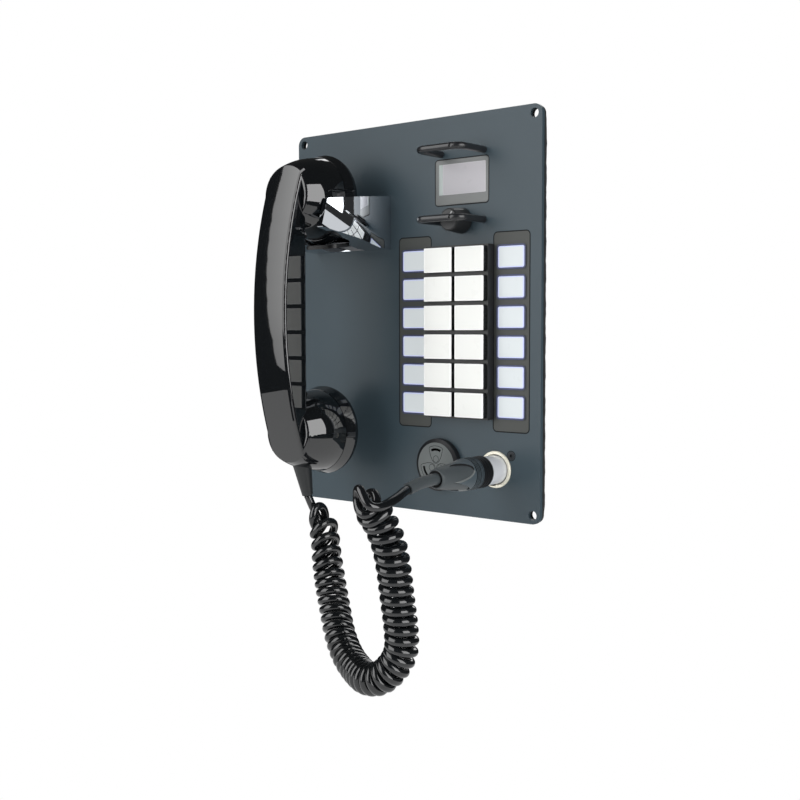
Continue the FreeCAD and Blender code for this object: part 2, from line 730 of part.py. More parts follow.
def key(x, z):
    front = -KEY_FRONT
    lens_back = front + KEY_LENS_T
    lens = plate(x, z, KEY_W, KEY_H, front, lens_back, KEY_CORNER)
    skirt = plate(x, z, KEY_W, KEY_H, lens_back, KEY_STOP, KEY_CORNER)
    lip = box(x - KEY_W / 2 - KEY_LIP, x + KEY_W / 2 + KEY_LIP, KEY_STOP, KEY_BACK,
              z - KEY_H / 2 - KEY_LIP, z + KEY_H / 2 + KEY_LIP)
    hollow = box(x - KEY_W / 2 + KEY_WALL, x + KEY_W / 2 - KEY_WALL, lens_back + KEY_ROOF, KEY_BACK + 1,
                 z - KEY_H / 2 + KEY_WALL, z + KEY_H / 2 - KEY_WALL)
    plunger = rod(x, z, PLUNGER_R, lens_back + KEY_ROOF / 2, SWITCH_FRONT - KEY_TRAVEL - REST)
    carrier = joined([joined([skirt, lip]).cut(hollow), plunger])
    return Part.makeCompound([carrier, lens])


def key_switch(x, z):
    half = SWITCH_SIZE / 2
    body = box(x - half, x + half, SWITCH_FRONT + SWITCH_BUTTON, BOARD_FRONT, z - half, z + half)
    return joined([body, rod(x, z, half / 2, SWITCH_FRONT, SWITCH_FRONT + 2 * SWITCH_BUTTON)])


def key_board():
    board = box(BOARD_LEFT, BOARD_RIGHT, BOARD_FRONT, BOARD_FRONT + BOARD_T, BOARD_BOTTOM, BOARD_TOP)
    board = without(board, [rod(x, z, BOARD_SCREW_R + THREAD, BOARD_FRONT - 1, BOARD_FRONT + BOARD_T + 1)
                            for x, z in standoff_places()])
    header = box(HEADER_X - HEADER_W / 2, HEADER_X + HEADER_W / 2, BOARD_FRONT + BOARD_T, MAIN_BOARD_Y,
                 KEYS_Z - HEADER_H / 2, KEYS_Z + HEADER_H / 2)
    return joined([board, header] + [key_switch(x, z) for x, z in key_places()])


def board_screws():
    # The key board's screws point forward and the main board's point back
    head_y = BOARD_FRONT + BOARD_T
    screws = [pan_screw(x, z, head_y, BOARD_SCREW_R, head_y - BOARD_SCREW_L, BOARD_HEAD_R, BOARD_HEAD_T)
              for x, z in standoff_places()]
    for x, z in post_places():
        screws.append(joined([rod(x, z, BOARD_SCREW_R, MAIN_BOARD_Y, MAIN_BOARD_Y + BOARD_SCREW_L),
                              rod(x, z, BOARD_HEAD_R, MAIN_BOARD_Y - BOARD_HEAD_T, MAIN_BOARD_Y)]))
    return Part.makeCompound(screws)


def label_bezels():
    bezels = []
    for x in BEZEL_XS:
        face = plate(x, KEYS_Z, BEZEL_W, BEZEL_H, 0, BEZEL_T, BEZEL_CORNER)
        windows = [plate(wx, wz, LEGEND_W + 2 * WINDOW_GAP, LEGEND_H + 2 * WINDOW_GAP, -1, BEZEL_T + 1,
                         LEGEND_CORNER + WINDOW_GAP) for wx, wz in legend_places(x)]
        bezels.append(without(face, windows))
    return Part.makeCompound(bezels)


def legend_displays():
    modules = []
    for wx, wz in legend_places(BEZEL_XS[0]) + legend_places(BEZEL_XS[1]):
        lens = plate(wx, wz, LEGEND_W, LEGEND_H, LEGEND_RECESS, BOARD_FRONT, LEGEND_CORNER)
        body = box(wx - LEGEND_BODY_W / 2, wx + LEGEND_BODY_W / 2, PANEL_T + FIT, BOARD_FRONT,
                   wz - LEGEND_BODY_H / 2, wz + LEGEND_BODY_H / 2)
        modules.append(joined([lens, body]))
    return Part.makeCompound(modules)


def display_window():
    return plate(DISPLAY_X, DISPLAY_Z, DISPLAY_W, DISPLAY_H, 0, DISPLAY_T, DISPLAY_CORNER)


def display_module():
    width = DISPLAY_W - 2 * DISPLAY_LEDGE - 2 * FIT
    height = DISPLAY_H - 2 * DISPLAY_LEDGE - 2 * FIT
    glass = box(DISPLAY_X - width / 2, DISPLAY_X + width / 2, DISPLAY_T, BOARD_FRONT,
                DISPLAY_Z - height / 2, DISPLAY_Z + height / 2)
    body = box(DISPLAY_X - DISPLAY_BODY_W / 2, DISPLAY_X + DISPLAY_BODY_W / 2, PANEL_T + FIT, BOARD_FRONT,
               DISPLAY_Z - DISPLAY_BODY_H / 2, DISPLAY_Z + DISPLAY_BODY_H / 2)
    return joined([glass, body])


# Guard bars

def guard_bar(z):
    half = GUARD_SPAN / 2
    reach = -GUARD_REACH
    bend = GUARD_BEND
    lower = reach + bend
    offset = bend * (1 - math.sqrt(0.5))
    left = GUARD_X - half
    right = GUARD_X + half
    edges = [Part.makeLine(V(left, 0, z), V(left, lower, z)),
             Part.Arc(V(left, lower, z), V(left + offset, reach + offset, z),
                      V(left + bend, reach, z)).toShape(),
             Part.makeLine(V(left + bend, reach, z), V(right - bend, reach, z)),
             Part.Arc(V(right - bend, reach, z), V(right - offset, reach + offset, z),
                      V(right, lower, z)).toShape(),
             Part.makeLine(V(right, lower, z), V(right, 0, z))]
    ring = Part.Wire(Part.makeCircle(GUARD_ROD_R, V(left, 0, z), V(0, 1, 0)))
    bar = Part.Wire(edges).makePipeShell([ring], True, False)
    cuts = [rod(x, z, GUARD_SCREW_R + THREAD, -GUARD_SCREW_DEPTH, 1) for x in (left, right)]
    dimple_x = GUARD_X + GUARD_DIMPLE_X
    cuts.append(rod(dimple_x, z, GUARD_DIMPLE_R, reach - GUARD_ROD_R - 1,
                    reach - GUARD_ROD_R + GUARD_DIMPLE_DEPTH))
    return without(bar, cuts)


def guard_screws():
    tip_y = FIT - GUARD_SCREW_DEPTH
    return Part.makeCompound([pan_screw(x, z, PANEL_T, GUARD_SCREW_R, tip_y, GUARD_HEAD_R, GUARD_HEAD_T)
                              for x, z in guard_feet()])


# Volume control

def volume_pot():
    body = rod(KNOB_X, KNOB_Z, POT_R, PANEL_T, BOARD_FRONT)
    bush = rod(KNOB_X, KNOB_Z, BUSH_R, -BUSH_PROUD, PANEL_T + 1)
    bore = rod(KNOB_X, KNOB_Z, SHAFT_R + RUN, -BUSH_PROUD - 1, PANEL_T + SHAFT_DEPTH)
    return joined([body, bush]).cut(bore)


def pot_nut():
    return hexagon(KNOB_X, KNOB_Z, POT_NUT_FLATS, -POT_NUT_T, 0, BUSH_R + THREAD)


def pot_shaft():
    shaft = rod(KNOB_X, KNOB_Z, SHAFT_R, -SHAFT_REACH, PANEL_T + SHAFT_DEPTH - REST)
    flat = box(KNOB_X - SHAFT_R, KNOB_X + SHAFT_R, -SHAFT_REACH, -BUSH_PROUD - SHAFT_FLAT_GAP,
               KNOB_Z - SHAFT_R, KNOB_Z - SHAFT_R + SHAFT_FLAT)
    return shaft.cut(flat)


def volume_knob():
    tip = -KNOB_DEPTH
    recess = -BUSH_PROUD - KNOB_RECESS_GAP
    body = turned(KNOB_X, KNOB_Z, [(-KNOB_LIFT, 0), (-KNOB_LIFT, KNOB_R), (tip + KNOB_BEVEL, KNOB_TIP_R),
                                   (tip, KNOB_TIP_R - KNOB_BEVEL), (tip, 0)])
    bore = rod(KNOB_X, KNOB_Z, SHAFT_R, -SHAFT_REACH, 0)
    well = rod(KNOB_X, KNOB_Z, KNOB_RECESS_R, recess, 0)
    pointer = pointer_line()
    return Part.makeCompound([without(body, [bore, well, pointer]), pointer])


def pointer_line():
    # An inlaid strip from near the rim towards the centre, turned to one o'clock
    tip = -KNOB_DEPTH
    outer = KNOB_TIP_R - KNOB_BEVEL
    strip = box(KNOB_X + outer - POINTER_L, KNOB_X + outer, tip, tip + POINTER_DEPTH,
                KNOB_Z - POINTER_W / 2, KNOB_Z + POINTER_W / 2)
    strip.rotate(V(KNOB_X, 0, KNOB_Z), V(0, 1, 0), -POINTER_ANGLE)
    return strip


# Cradle group

def cradle_floor_z(y):
    return CRADLE_BOTTOM - CRADLE_SLOPE * y


def cradle_plan(wall, back, front):
    # Seen from above, the sides run straight out and then close in towards the front
    taper = (CRADLE_W / 2 - CRADLE_NOSE_HALF) / (CRADLE_NOSE_Y - CRADLE_TURN)
    skew = math.sqrt(1 + taper ** 2)
    turn = CRADLE_TURN - wall * (skew - 1) / taper
    half = CRADLE_W / 2 - wall
    side = [(half, back), (half, -turn), (half + taper * (front + turn), front)]
    corners = [V(CRADLE_X + dx, y, 0) for dx, y in side]
    corners += [V(CRADLE_X - dx, y, 0) for dx, y in side[::-1]]
    return Part.Face(Part.makePolygon(corners + corners[:1])).extrude(V(0, 0, 2 * CRADLE_TOP))


def cradle_body():
    left = CRADLE_X - CRADLE_W / 2
    right = CRADLE_X + CRADLE_W / 2
    front = -CRADLE_REACH
    outline = [(0, CRADLE_TOP), (-CRADLE_TOP_REACH, CRADLE_TOP_FRONT), (front, cradle_floor_z(front)),
               (-CRADLE_KNEE_Y, CRADLE_BOTTOM + CRADLE_KNEE_RISE), (0, CRADLE_BOTTOM)]
    block = side_slab(outline, left, right)
    nose_edges = [e for e in block.Edges
                  if abs(e.Length - CRADLE_W) < 0.01 and e.BoundBox.YMax < -CRADLE_TURN]
    block = block.makeFillet(CRADLE_EDGE, nose_edges).common(cradle_plan(0.0, 1, front - 1))
    floor_line = [(y, cradle_floor_z(y) + CRADLE_FLOOR) for y in (-CRADLE_BACK, front - 2)]
    above = CRADLE_TOP + CRADLE_WALL
    hollow = side_slab(floor_line + [(front - 2, above), (-CRADLE_BACK, above)],
                       left, right)
    hollow = hollow.common(cradle_plan(CRADLE_WALL, -CRADLE_BACK, front - 3))
    fork = fork_cut(front)
    cuts = [hollow, fork, lever_slot(-CRADLE_BACK - 1, 1)]
    cuts += [rod(x, z, CRADLE_SCREW_R + THREAD, CRADLE_HOLE_STOP - CRADLE_BACK, 1)
             for x, z in cradle_screw_places()]
    return without(block, cuts)


def fork_cut(front):
    # The gap in the cradle's floor, widest at the front
    points = []
    for side in (1, -1):
        line = [(FORK_THROAT, -CRADLE_BACK), (FORK_THROAT, -FORK_THROAT_Y), (FORK_MID, -FORK_MID_Y),
                (FORK_MOUTH, front - 2)]
        ordered = line if side == 1 else line[::-1]
        points += [V(CRADLE_X + side * dx, y, 0) for dx, y in ordered]
    face = Part.Face(Part.makePolygon(points + points[:1]))
    behind = box(CRADLE_X - CRADLE_W, CRADLE_X + CRADLE_W, -CRADLE_BACK, 1, 0, CRADLE_TOP)
    return face.extrude(V(0, 0, CRADLE_TOP)).cut(behind)


def cradle_screws():
    head_y = PANEL_T + BRACKET_T
    tip_y = CRADLE_SCREW_STOP - CRADLE_BACK
    return Part.makeCompound([pan_screw(x, z, head_y, CRADLE_SCREW_R, tip_y, CRADLE_HEAD_R, CRADLE_HEAD_T)
                              for x, z in cradle_screw_places()])


def pivot_z():
    return lever_top(LEVER_PIVOT_Y) - LEVER_T / 2


def hook_bracket():
    base = box(CRADLE_X - BRACKET_W / 2, CRADLE_X + BRACKET_W / 2, PANEL_T, PANEL_T + BRACKET_T,
               BRACKET_LOW, BRACKET_HIGH)
    z = pivot_z()
    ear_x = LEVER_W / 2 + REST
    shelf_z = z - EAR_H / 2
    solids = [base]
    for side in (-1, 1):
        inner = CRADLE_X + side * ear_x
        outer = CRADLE_X + side * (ear_x + BRACKET_T)
        solids.append(box(min(inner, outer), max(inner, outer), PANEL_T, EAR_REACH, shelf_z, z + EAR_H / 2))
    shelf_half = ear_x + BRACKET_T
    solids.append(box(CRADLE_X - shelf_half, CRADLE_X + shelf_half, LEVER_PIVOT_Y + 2, EAR_REACH,
                      shelf_z - BRACKET_T, shelf_z))
    cuts = [rod(x, zz, CRADLE_SCREW_R + 4 * THREAD, PANEL_T - 1, PANEL_T + BRACKET_T + 1)
            for x, zz in cradle_screw_places()]
    pin_hole = Part.makeCylinder(PIN_R, 2 * shelf_half + 2, V(CRADLE_X - shelf_half - 1, LEVER_PIVOT_Y, z),
                                 V(1, 0, 0))
    return without(joined(solids), cuts + [lever_slot(PANEL_T - 0.5, PANEL_T + BRACKET_T + 0.5), pin_hole])


def hook_pin():
    half = LEVER_W / 2 + REST + BRACKET_T
    return Part.makeCylinder(PIN_R, 2 * half, V(CRADLE_X - half, LEVER_PIVOT_Y, pivot_z()), V(1, 0, 0))


def hook_lever():
    half = LEVER_W / 2
    tip = -LEVER_TIP_Y
    blade = side_slab([(tip, lever_top(tip)), (LEVER_ARM_END, lever_top(LEVER_ARM_END)),
                       (LEVER_ARM_END, lever_top(LEVER_ARM_END) - LEVER_T), (tip, lever_top(tip) - LEVER_T)],
                      CRADLE_X - half, CRADLE_X + half)
    corners = [e for e in blade.Edges if e.BoundBox.YMax < tip + 1 and e.BoundBox.ZLength > LEVER_T - 0.1]
    blade = blade.makeFillet(LEVER_TIP_CORNER, corners)
    z = pivot_z()
    hub = Part.makeCylinder(LEVER_HUB_R, LEVER_W, V(CRADLE_X - half, LEVER_PIVOT_Y, z), V(1, 0, 0))
    bore = Part.makeCylinder(PIN_R + RUN, LEVER_W + 2, V(CRADLE_X - half - 1, LEVER_PIVOT_Y, z), V(1, 0, 0))
    gap = box(CRADLE_X - SPRING_R, CRADLE_X + SPRING_R, LEVER_PIVOT_Y - HUB_GAP_Y, LEVER_PIVOT_Y + HUB_GAP_Y,
              z - HUB_GAP_Z, z + HUB_GAP_Z)
    return without(joined([blade, hub]), [bore, gap])


def hook_spring():
    half = SPRING_R - REST
    z = pivot_z()
    coil = Part.makeCylinder(PIN_R + SPRING_WIRE, 2 * half, V(CRADLE_X - half, LEVER_PIVOT_Y, z), V(1, 0, 0))
    bore = Part.makeCylinder(PIN_R + RUN, 2 * half, V(CRADLE_X - half, LEVER_PIVOT_Y, z), V(1, 0, 0))
    return coil.cut(bore)


def hook_switch():
    shelf = pivot_z() - EAR_H / 2
    arm = lever_top(LEVER_PIVOT_Y + HUB_GAP_Y) - LEVER_T
    dip = (LEVER_ARM_END - LEVER_PIVOT_Y) * math.sin(math.radians(LEVER_SWING))
    front = LEVER_PIVOT_Y + SWITCH_SETBACK
    body = box(CRADLE_X - SWITCH_W / 2, CRADLE_X + SWITCH_W / 2, front, front + SWITCH_T, shelf,
               shelf + SWITCH_BODY_H)
    left = CRADLE_X - BUTTON_SHIFT - BUTTON_W / 2
    button_y = front + BUTTON_T
    button = box(left, left + BUTTON_W, button_y, button_y + BUTTON_T, shelf + SWITCH_BODY_H - FIT,
                 arm - dip - REST)
    return joined([body, button])


# Handset group

def handle_outline():
    # Side view: a long shallow arc outside and a straight grip inside
    end_y = -HANDLE_INNER - HANDLE_END_T
    top = V(0, end_y, HANDLE_CREST_Z + HANDLE_HALF)
    low = V(0, end_y, HANDLE_CREST_Z - HANDLE_HALF)
    crest = V(0, -HANDLE_CREST, HANDLE_CREST_Z)
    inner_top = V(0, -HANDLE_INNER, HANDLE_CREST_Z + HANDLE_HALF)
    inner_low = V(0, -HANDLE_INNER, HANDLE_CREST_Z - HANDLE_HALF)
    return Part.Wire([Part.Arc(low, crest, top).toShape(), Part.makeLine(top, inner_top),
                      Part.makeLine(inner_top, inner_low), Part.makeLine(inner_low, low)])


def handle():
    face = Part.Face(handle_outline())
    face.translate(V(CRADLE_X - HANDLE_W / 2, 0, 0))
    solid = face.extrude(V(HANDLE_W, 0, 0))
    long_edges = [e for e in solid.Edges if e.BoundBox.ZLength > HANDLE_HALF]
    return solid.makeFillet(HANDLE_EDGE, long_edges)


def cup(z, neck):
    # A bell: narrow where it leaves the handle, widest at the cap's seat
    x = CRADLE_X
    tip = V(x + CUP_TIP_R, -CUP_TIP_Y, z)
    bulge = V(x + CUP_BULGE_R, -CUP_BULGE_Y, z)
    rim = V(x + CUP_R, -CUP_RIM_Y, z)
    arc = Part.Arc(tip, bulge, rim).toShape()
    neck_y = -neck
    lines = [V(x + CUP_R, -CUP_RIM_Y, z), V(x + CUP_NECK_R, -CUP_RIM_Y, z), V(x + CUP_NECK_R, neck_y, z),
             V(x, neck_y, z), V(x, -CUP_TIP_Y, z), V(x + CUP_TIP_R, -CUP_TIP_Y, z)]
    edges = [arc] + [Part.makeLine(a, b) for a, b in zip(lines, lines[1:])]
    solid = Part.Face(Part.Wire(edges)).revolve(V(x, 0, z), V(0, 1, 0), 360)
    rims = [e for e in solid.Edges if e.BoundBox.YMax < 0.1 - CUP_TIP_Y and e.BoundBox.XLength > CUP_TIP_R]
    return solid.makeFillet(CUP_TIP_ROUND, rims)


def handset_solid():
    return joined([handle(), cup(EAR_Z, CUP_NECK_Y), cup(MOUTH_Z, CUP_NECK_Y)])


def handset_body():
    # Each cup is hollow for its capsule, and a wire channel joins the two through the handle
    half = HANDLE_BORE_W / 2
    channel_back = -HANDLE_INNER - HANDLE_WALL
    reach = CUP_OFFSET - WELL_INNER
    bores = [box(CRADLE_X - half, CRADLE_X + half, channel_back - HANDLE_BORE_T, channel_back,
                 HANDLE_CREST_Z - reach, HANDLE_CREST_Z + reach)]
    for z, side in ((EAR_Z, 1), (MOUTH_Z, -1)):
        bores.append(rod(CRADLE_X, z, CUP_BORE_R, -CUP_BORE_Y, 0))
        ends = sorted((z - side * (WELL_INNER + 1), z + side * WELL_OUTER))
        bores.append(box(CRADLE_X - half, CRADLE_X + half, channel_back - 1, -CUP_BORE_Y + 1,
                         ends[0], ends[1]))
    return without(handset_solid(), bores)


def sound_holes(z, rings):
    back = -CAP_BACK - CAP_WALL
    holes = [rod(CRADLE_X, z, SOUND_HOLE_R, back, -CAP_FACE_Y + 1)]
    for ring in range(1, rings + 1):
        for k in range(6 * ring):
            a = 2 * math.pi * k / (6 * ring)
            r = ring * SOUND_RING
            holes.append(rod(CRADLE_X + r * math.cos(a), z + r * math.sin(a), SOUND_HOLE_R,
                             back, -CAP_FACE_Y + 1))
    return holes


def handset_cap(z, rings):
    skirt = -CUP_RIM_Y + REST
    shoulder = -CAP_SHOULDER_Y
    face = -CAP_FACE_Y
    inside = CUP_NECK_R + 4 * THREAD
    x = CRADLE_X
    rim = Part.makeLine(V(x + CAP_SKIRT_R, skirt, z), V(x + CAP_R, shoulder, z))
    mid_r = CAP_FACE_R + (CAP_R - CAP_FACE_R) * 0.8
    mid_y = shoulder + (face - shoulder) * 0.65
    dome = Part.Arc(V(x + CAP_R, shoulder, z), V(x + mid_r, mid_y, z), V(x + CAP_FACE_R, face, z)).toShape()
    corners = [V(x + CAP_FACE_R, face, z), V(x + CAP_FACE_R - CAP_RIM_W, face - CAP_STEP, z),
               V(x, face - CAP_DISH, z), V(x, -CAP_BACK, z), V(x + CAPSULE_R + REST, -CAP_BACK, z),
               V(x + inside, -CUP_NECK_Y + REST, z), V(x + inside, skirt, z), V(x + CAP_SKIRT_R, skirt, z)]
    edges = [rim, dome] + [Part.makeLine(a, b) for a, b in zip(corners, corners[1:])]
    shell = Part.Face(Part.Wire(edges)).revolve(V(x, 0, z), V(0, 1, 0), 360)
    return without(shell, sound_holes(z, rings))


def capsule(z):
    front = -CAP_BACK
    body = rod(CRADLE_X, z, CAPSULE_R, front - CAPSULE_T, front)
    return body.cut(rod(CRADLE_X, z, CAPSULE_HOLE_R, front - CAPSULE_LIP, front + 1))


def handset_relief():
    top = V(*RELIEF_TOP)
    end = V(*RELIEF_END)
    axis = end - top
    cone = Part.makeCone(RELIEF_R, RELIEF_END_R, axis.Length, top, axis)
    unit = V(axis).normalize()
    bore = Part.makeCylinder(RELIEF_BORE_R, RELIEF_BORE_DEPTH, end - unit * RELIEF_BORE_DEPTH, unit)
    return without(cone, [bore, handset_solid()])


# Sounder

def sounder_cap():
    front = -SOUNDER_PROUD
    profile = [(front, 0), (front, SOUNDER_R - 2 * SOUNDER_BEVEL), (front + SOUNDER_BEVEL, SOUNDER_R),
               (0, SOUNDER_R), (0, SOUNDER_BARREL_R), (SOUNDER_BACK, SOUNDER_BARREL_R),
               (SOUNDER_BACK, SOUNDER_BARREL_R - SOUNDER_BARREL_WALL),
               (front + SOUNDER_FACE_T, SOUNDER_BARREL_R - SOUNDER_BARREL_WALL), (front + SOUNDER_FACE_T, 0)]
    body = turned(SOUNDER_X, SOUNDER_Z, profile)
    step = 360 / SOUND_SLOT_COUNT
    return without(body, [sound_slot(90 + k * step, front) for k in range(SOUND_SLOT_COUNT)])


def sound_slot(angle, front):
    # A short curved slot round the cap's centre
    outer = rod(SOUNDER_X, SOUNDER_Z, SOUND_SLOT_R + SOUND_SLOT_W / 2, front - 1, front + SOUNDER_FACE_T + 1)
    inner = rod(SOUNDER_X, SOUNDER_Z, SOUND_SLOT_R - SOUND_SLOT_W / 2, front - 1, front + SOUNDER_FACE_T + 1)
    half = math.radians(SOUND_SLOT_ANGLE / 2)
    a = math.radians(angle)
    reach = 2 * SOUND_SLOT_R
    centre = V(SOUNDER_X, front - 1, SOUNDER_Z)
    corners = [centre]
    for turn in (a - half, a + half):
        corners.append(centre + V(reach * math.cos(turn), 0, reach * math.sin(turn)))
    wedge = Part.Face(Part.makePolygon(corners + corners[:1])).extrude(V(0, SOUNDER_FACE_T + 2, 0))
    return outer.cut(inner).common(wedge)


def sounder_body():
    # Screwed on the barrel from behind, it clamps the panel and holds the sounding disc
    inside = SOUNDER_BARREL_R + THREAD
    outside = inside + SOUNDER_BARREL_WALL
    core = SOUNDER_BARREL_R - SOUNDER_BARREL_WALL - THREAD
    floor = SOUNDER_BACK + REST
    profile = [(PANEL_T, inside), (PANEL_T, SOUNDER_NUT_R), (PANEL_T + SOUNDER_NUT_T, SOUNDER_NUT_R),
               (PANEL_T + SOUNDER_NUT_T, outside), (floor + SOUNDER_FLOOR_T, outside),
               (floor + SOUNDER_FLOOR_T, 0), (PANEL_T, 0),
               (PANEL_T, core), (floor, core), (floor, inside)]
    return turned(SOUNDER_X, SOUNDER_Z, profile)


# Socket and plug

def socket_shell():
    front = -SOCKET_PROUD
    ring = turned(SOCKET_X, SOCKET_Z, [(front, SOCKET_BORE_R + SOCKET_LIP), (front, SOCKET_R - SOCKET_EDGE),
                                       (front + SOCKET_EDGE, SOCKET_R), (PANEL_T, SOCKET_R),
                                       (PANEL_T, SOCKET_BODY_R), (SOCKET_BACK, SOCKET_BODY_R),
                                       (SOCKET_BACK, SOCKET_BORE_R), (0, SOCKET_BORE_R)])
    flange_back = PANEL_T + SOCKET_FLANGE_T
    flange = plate(SOCKET_X, SOCKET_Z, SOCKET_FLANGE_W, SOCKET_FLANGE_H, PANEL_T, flange_back,
                   SOCKET_FLANGE_CORNER)
    flange = flange.cut(rod(SOCKET_X, SOCKET_Z, SOCKET_BORE_R + SOCKET_LIP, 0, flange_back + 1))
    holes = [rod(x, z, SOCKET_SCREW_R + THREAD, PANEL_T - 1, flange_back + 1)
             for x, z in socket_screw_places()]
    return without(joined([ring, flange]), holes)


def contact_places():
    places = []
    for k in range(CONTACT_COUNT):
        a = math.radians(90 + 360 * k / CONTACT_COUNT)
        places.append((SOCKET_X + CONTACT_CIRCLE_R * math.cos(a), SOCKET_Z + CONTACT_CIRCLE_R * math.sin(a)))
    return places


def socket_insert():
    disc = rod(SOCKET_X, SOCKET_Z, SOCKET_BORE_R - RUN, SOCKET_FLOOR_Y, SOCKET_BACK)
    return without(disc, [rod(x, z, CONTACT_R + RUN, SOCKET_FLOOR_Y - 1, SOCKET_BACK - 1)
                          for x, z in contact_places()])


def socket_screws():
    screws = []
    front = SOCKET_HEAD_SINK
    under = front + SOCKET_HEAD_T
    tail = PANEL_T + SOCKET_SCREW_TAIL
    for x, z in socket_screw_places():
        body = turned(x, z, [(front, 0), (front, SOCKET_HEAD_R - THREAD), (under, SOCKET_SCREW_R),
                             (tail, SOCKET_SCREW_R), (tail, 0)])
        screws.append(body.cut(rod(x, z, SOCKET_DRIVE_R, -1, under - FIT)))
    return Part.makeCompound(screws)


def plug_shell():
    return Part.makeCompound([plug_tube(), contact_carrier()])


def plug_tube():
    tube_solid = rod(SOCKET_X, SOCKET_Z, PLUG_R, -COLLAR_Y, PLUG_NOSE)
    bore = rod(SOCKET_X, SOCKET_Z, PLUG_R - PLUG_WALL, -COLLAR_Y - 1, PLUG_NOSE + 1)
    window = box(SOCKET_X - LATCH_L / 2, SOCKET_X + LATCH_L / 2, -LATCH_Y - LATCH_W, -LATCH_Y + LATCH_W,
                 SOCKET_Z - PLUG_R - 1, SOCKET_Z - PLUG_R + 2 * PLUG_WALL)
    return without(tube_solid, [bore, window])


def contact_carrier():
    front = -LATCH_Y - LATCH_W - CARRIER_GAP
    disc = rod(SOCKET_X, SOCKET_Z, PLUG_R - PLUG_WALL - RUN, CARRIER_GAP - COLLAR_Y, front)
    pins = [rod(x, z, CONTACT_R, front - CARRIER_ROOT, SOCKET_FLOOR_Y + CONTACT_LENGTH / 2)
            for x, z in contact_places()]
    return joined([disc] + pins)


def plug_latch():
    # A sprung button in the shell's underside
    half_l = LATCH_L / 2 - REST
    half_w = LATCH_W - REST
    low = SOCKET_Z - PLUG_R - LATCH_PROUD
    return box(SOCKET_X - half_l, SOCKET_X + half_l, -LATCH_Y - half_w, -LATCH_Y + half_w, low,
               SOCKET_Z - PLUG_R + PLUG_WALL + LATCH_TRAVEL)


def plug_collar():
    front = -COLLAR_Y
    back = -BACKSHELL_Y
    inner = PLUG_R - PLUG_WALL - RUN
    profile = [(front, inner), (front, COLLAR_R)]
    floor_r = COLLAR_R - COLLAR_GROOVE
    for k in range(COLLAR_RIBS):
        y = front - COLLAR_LAND - k * COLLAR_RIB_PITCH
        foot = y - COLLAR_SLOPE
        profile += [(y, COLLAR_R), (foot, floor_r), (foot - COLLAR_GROOVE_W, floor_r),
                    (foot - COLLAR_GROOVE_W - COLLAR_SLOPE, COLLAR_R)]
    profile += [(back, COLLAR_R), (back, inner)]
    return turned(SOCKET_X, SOCKET_Z, profile)


def backshell_radius(y):
    share = (-y - BACKSHELL_Y) / (PETAL_TIP - BACKSHELL_Y)
    return BACKSHELL_R + (BACKSHELL_END_R - BACKSHELL_R) * share


def plug_backshell():
    front = -BACKSHELL_Y
    tip = -PETAL_TIP
    profile = [(front, backshell_radius(front) - BACKSHELL_WALL), (front, backshell_radius(front))]
    for k in range(RING_COUNT):
        y = front - RING_LAND - k * RING_PITCH
        foot = y - RING_SLOPE
        rise = foot - RING_GROOVE_W - RING_SLOPE
        floor_r = backshell_radius(y) - RING_DEPTH
        profile += [(y, backshell_radius(y)), (foot, floor_r), (foot - RING_GROOVE_W, floor_r),
                    (rise, backshell_radius(rise))]
    profile += [(tip, backshell_radius(tip)), (tip, backshell_radius(tip) - BACKSHELL_WALL)]
    shell = turned(SOCKET_X, SOCKET_Z, profile)
    return without(shell, [petal_gap(k) for k in range(PETAL_COUNT)])


def petal_gap(k):
    # A round-ended notch between two petals, cut in from the shell's open end
    step = 360 / PETAL_COUNT
    half = BACKSHELL_R * math.tan(math.radians(step / 2)) - PETAL_LAND / 2
    root = -PETAL_ROOT
    tip = -PETAL_TIP
    curve = Part.BSplineCurve()
    shoulder = root - PETAL_SHOULDER
    narrow = half * PETAL_SHOULDER_SHARE
    beyond = tip - PETAL_CUT
    wide = half + PETAL_FLARE
    bowl = [V(0, beyond, wide), V(0, tip, half), V(0, shoulder, narrow), V(0, root, 0),
            V(0, shoulder, -narrow), V(0, tip, -half), V(0, beyond, -wide)]
    curve.interpolate(bowl)
    edges = [curve.toShape(), Part.makeLine(bowl[-1], bowl[0])]
    notch = Part.Face(Part.Wire(edges)).extrude(V(BACKSHELL_R + PETAL_CUT, 0, 0))
    notch.rotate(V(0, 0, 0), V(0, 1, 0), -(PETAL_ANGLE + step / 2 + k * step))
    notch.translate(V(SOCKET_X, 0, SOCKET_Z))
    return notch


def boot_radius(y):
    inner = BACKSHELL_END_R - BACKSHELL_WALL
    if -y < PETAL_TIP:
        return backshell_radius(y) - BACKSHELL_WALL - THREAD
    share = (-y - PETAL_TIP) / (BOOT_END - PETAL_TIP)
    return inner - THREAD + (BOOT_END_R - inner + THREAD) * share


def plug_boot():
    front = -BACKSHELL_Y
    end = -BOOT_END
    bore = SLEEVE_R + THREAD
    profile = [(front, bore), (front, boot_radius(front)), (-PETAL_TIP, boot_radius(-PETAL_TIP)),
               (end + BOOT_LIP, BOOT_END_R), (end, BOOT_END_R - BOOT_LIP_IN), (end, bore)]
    return turned(SOCKET_X, SOCKET_Z, profile)


def plug_sleeve():
    stub = rod(SOCKET_X, SOCKET_Z, SLEEVE_R, -BOOT_END, -BACKSHELL_Y)
    return joined([tube(SLEEVE_ROUTE, SLEEVE_R, "plug_sleeve"), stub])


# Boards and wiring behind the panel

def post_places():
    return [(x, z) for x in (-POST_X, POST_X) for z in (-POST_Z, POST_Z)]


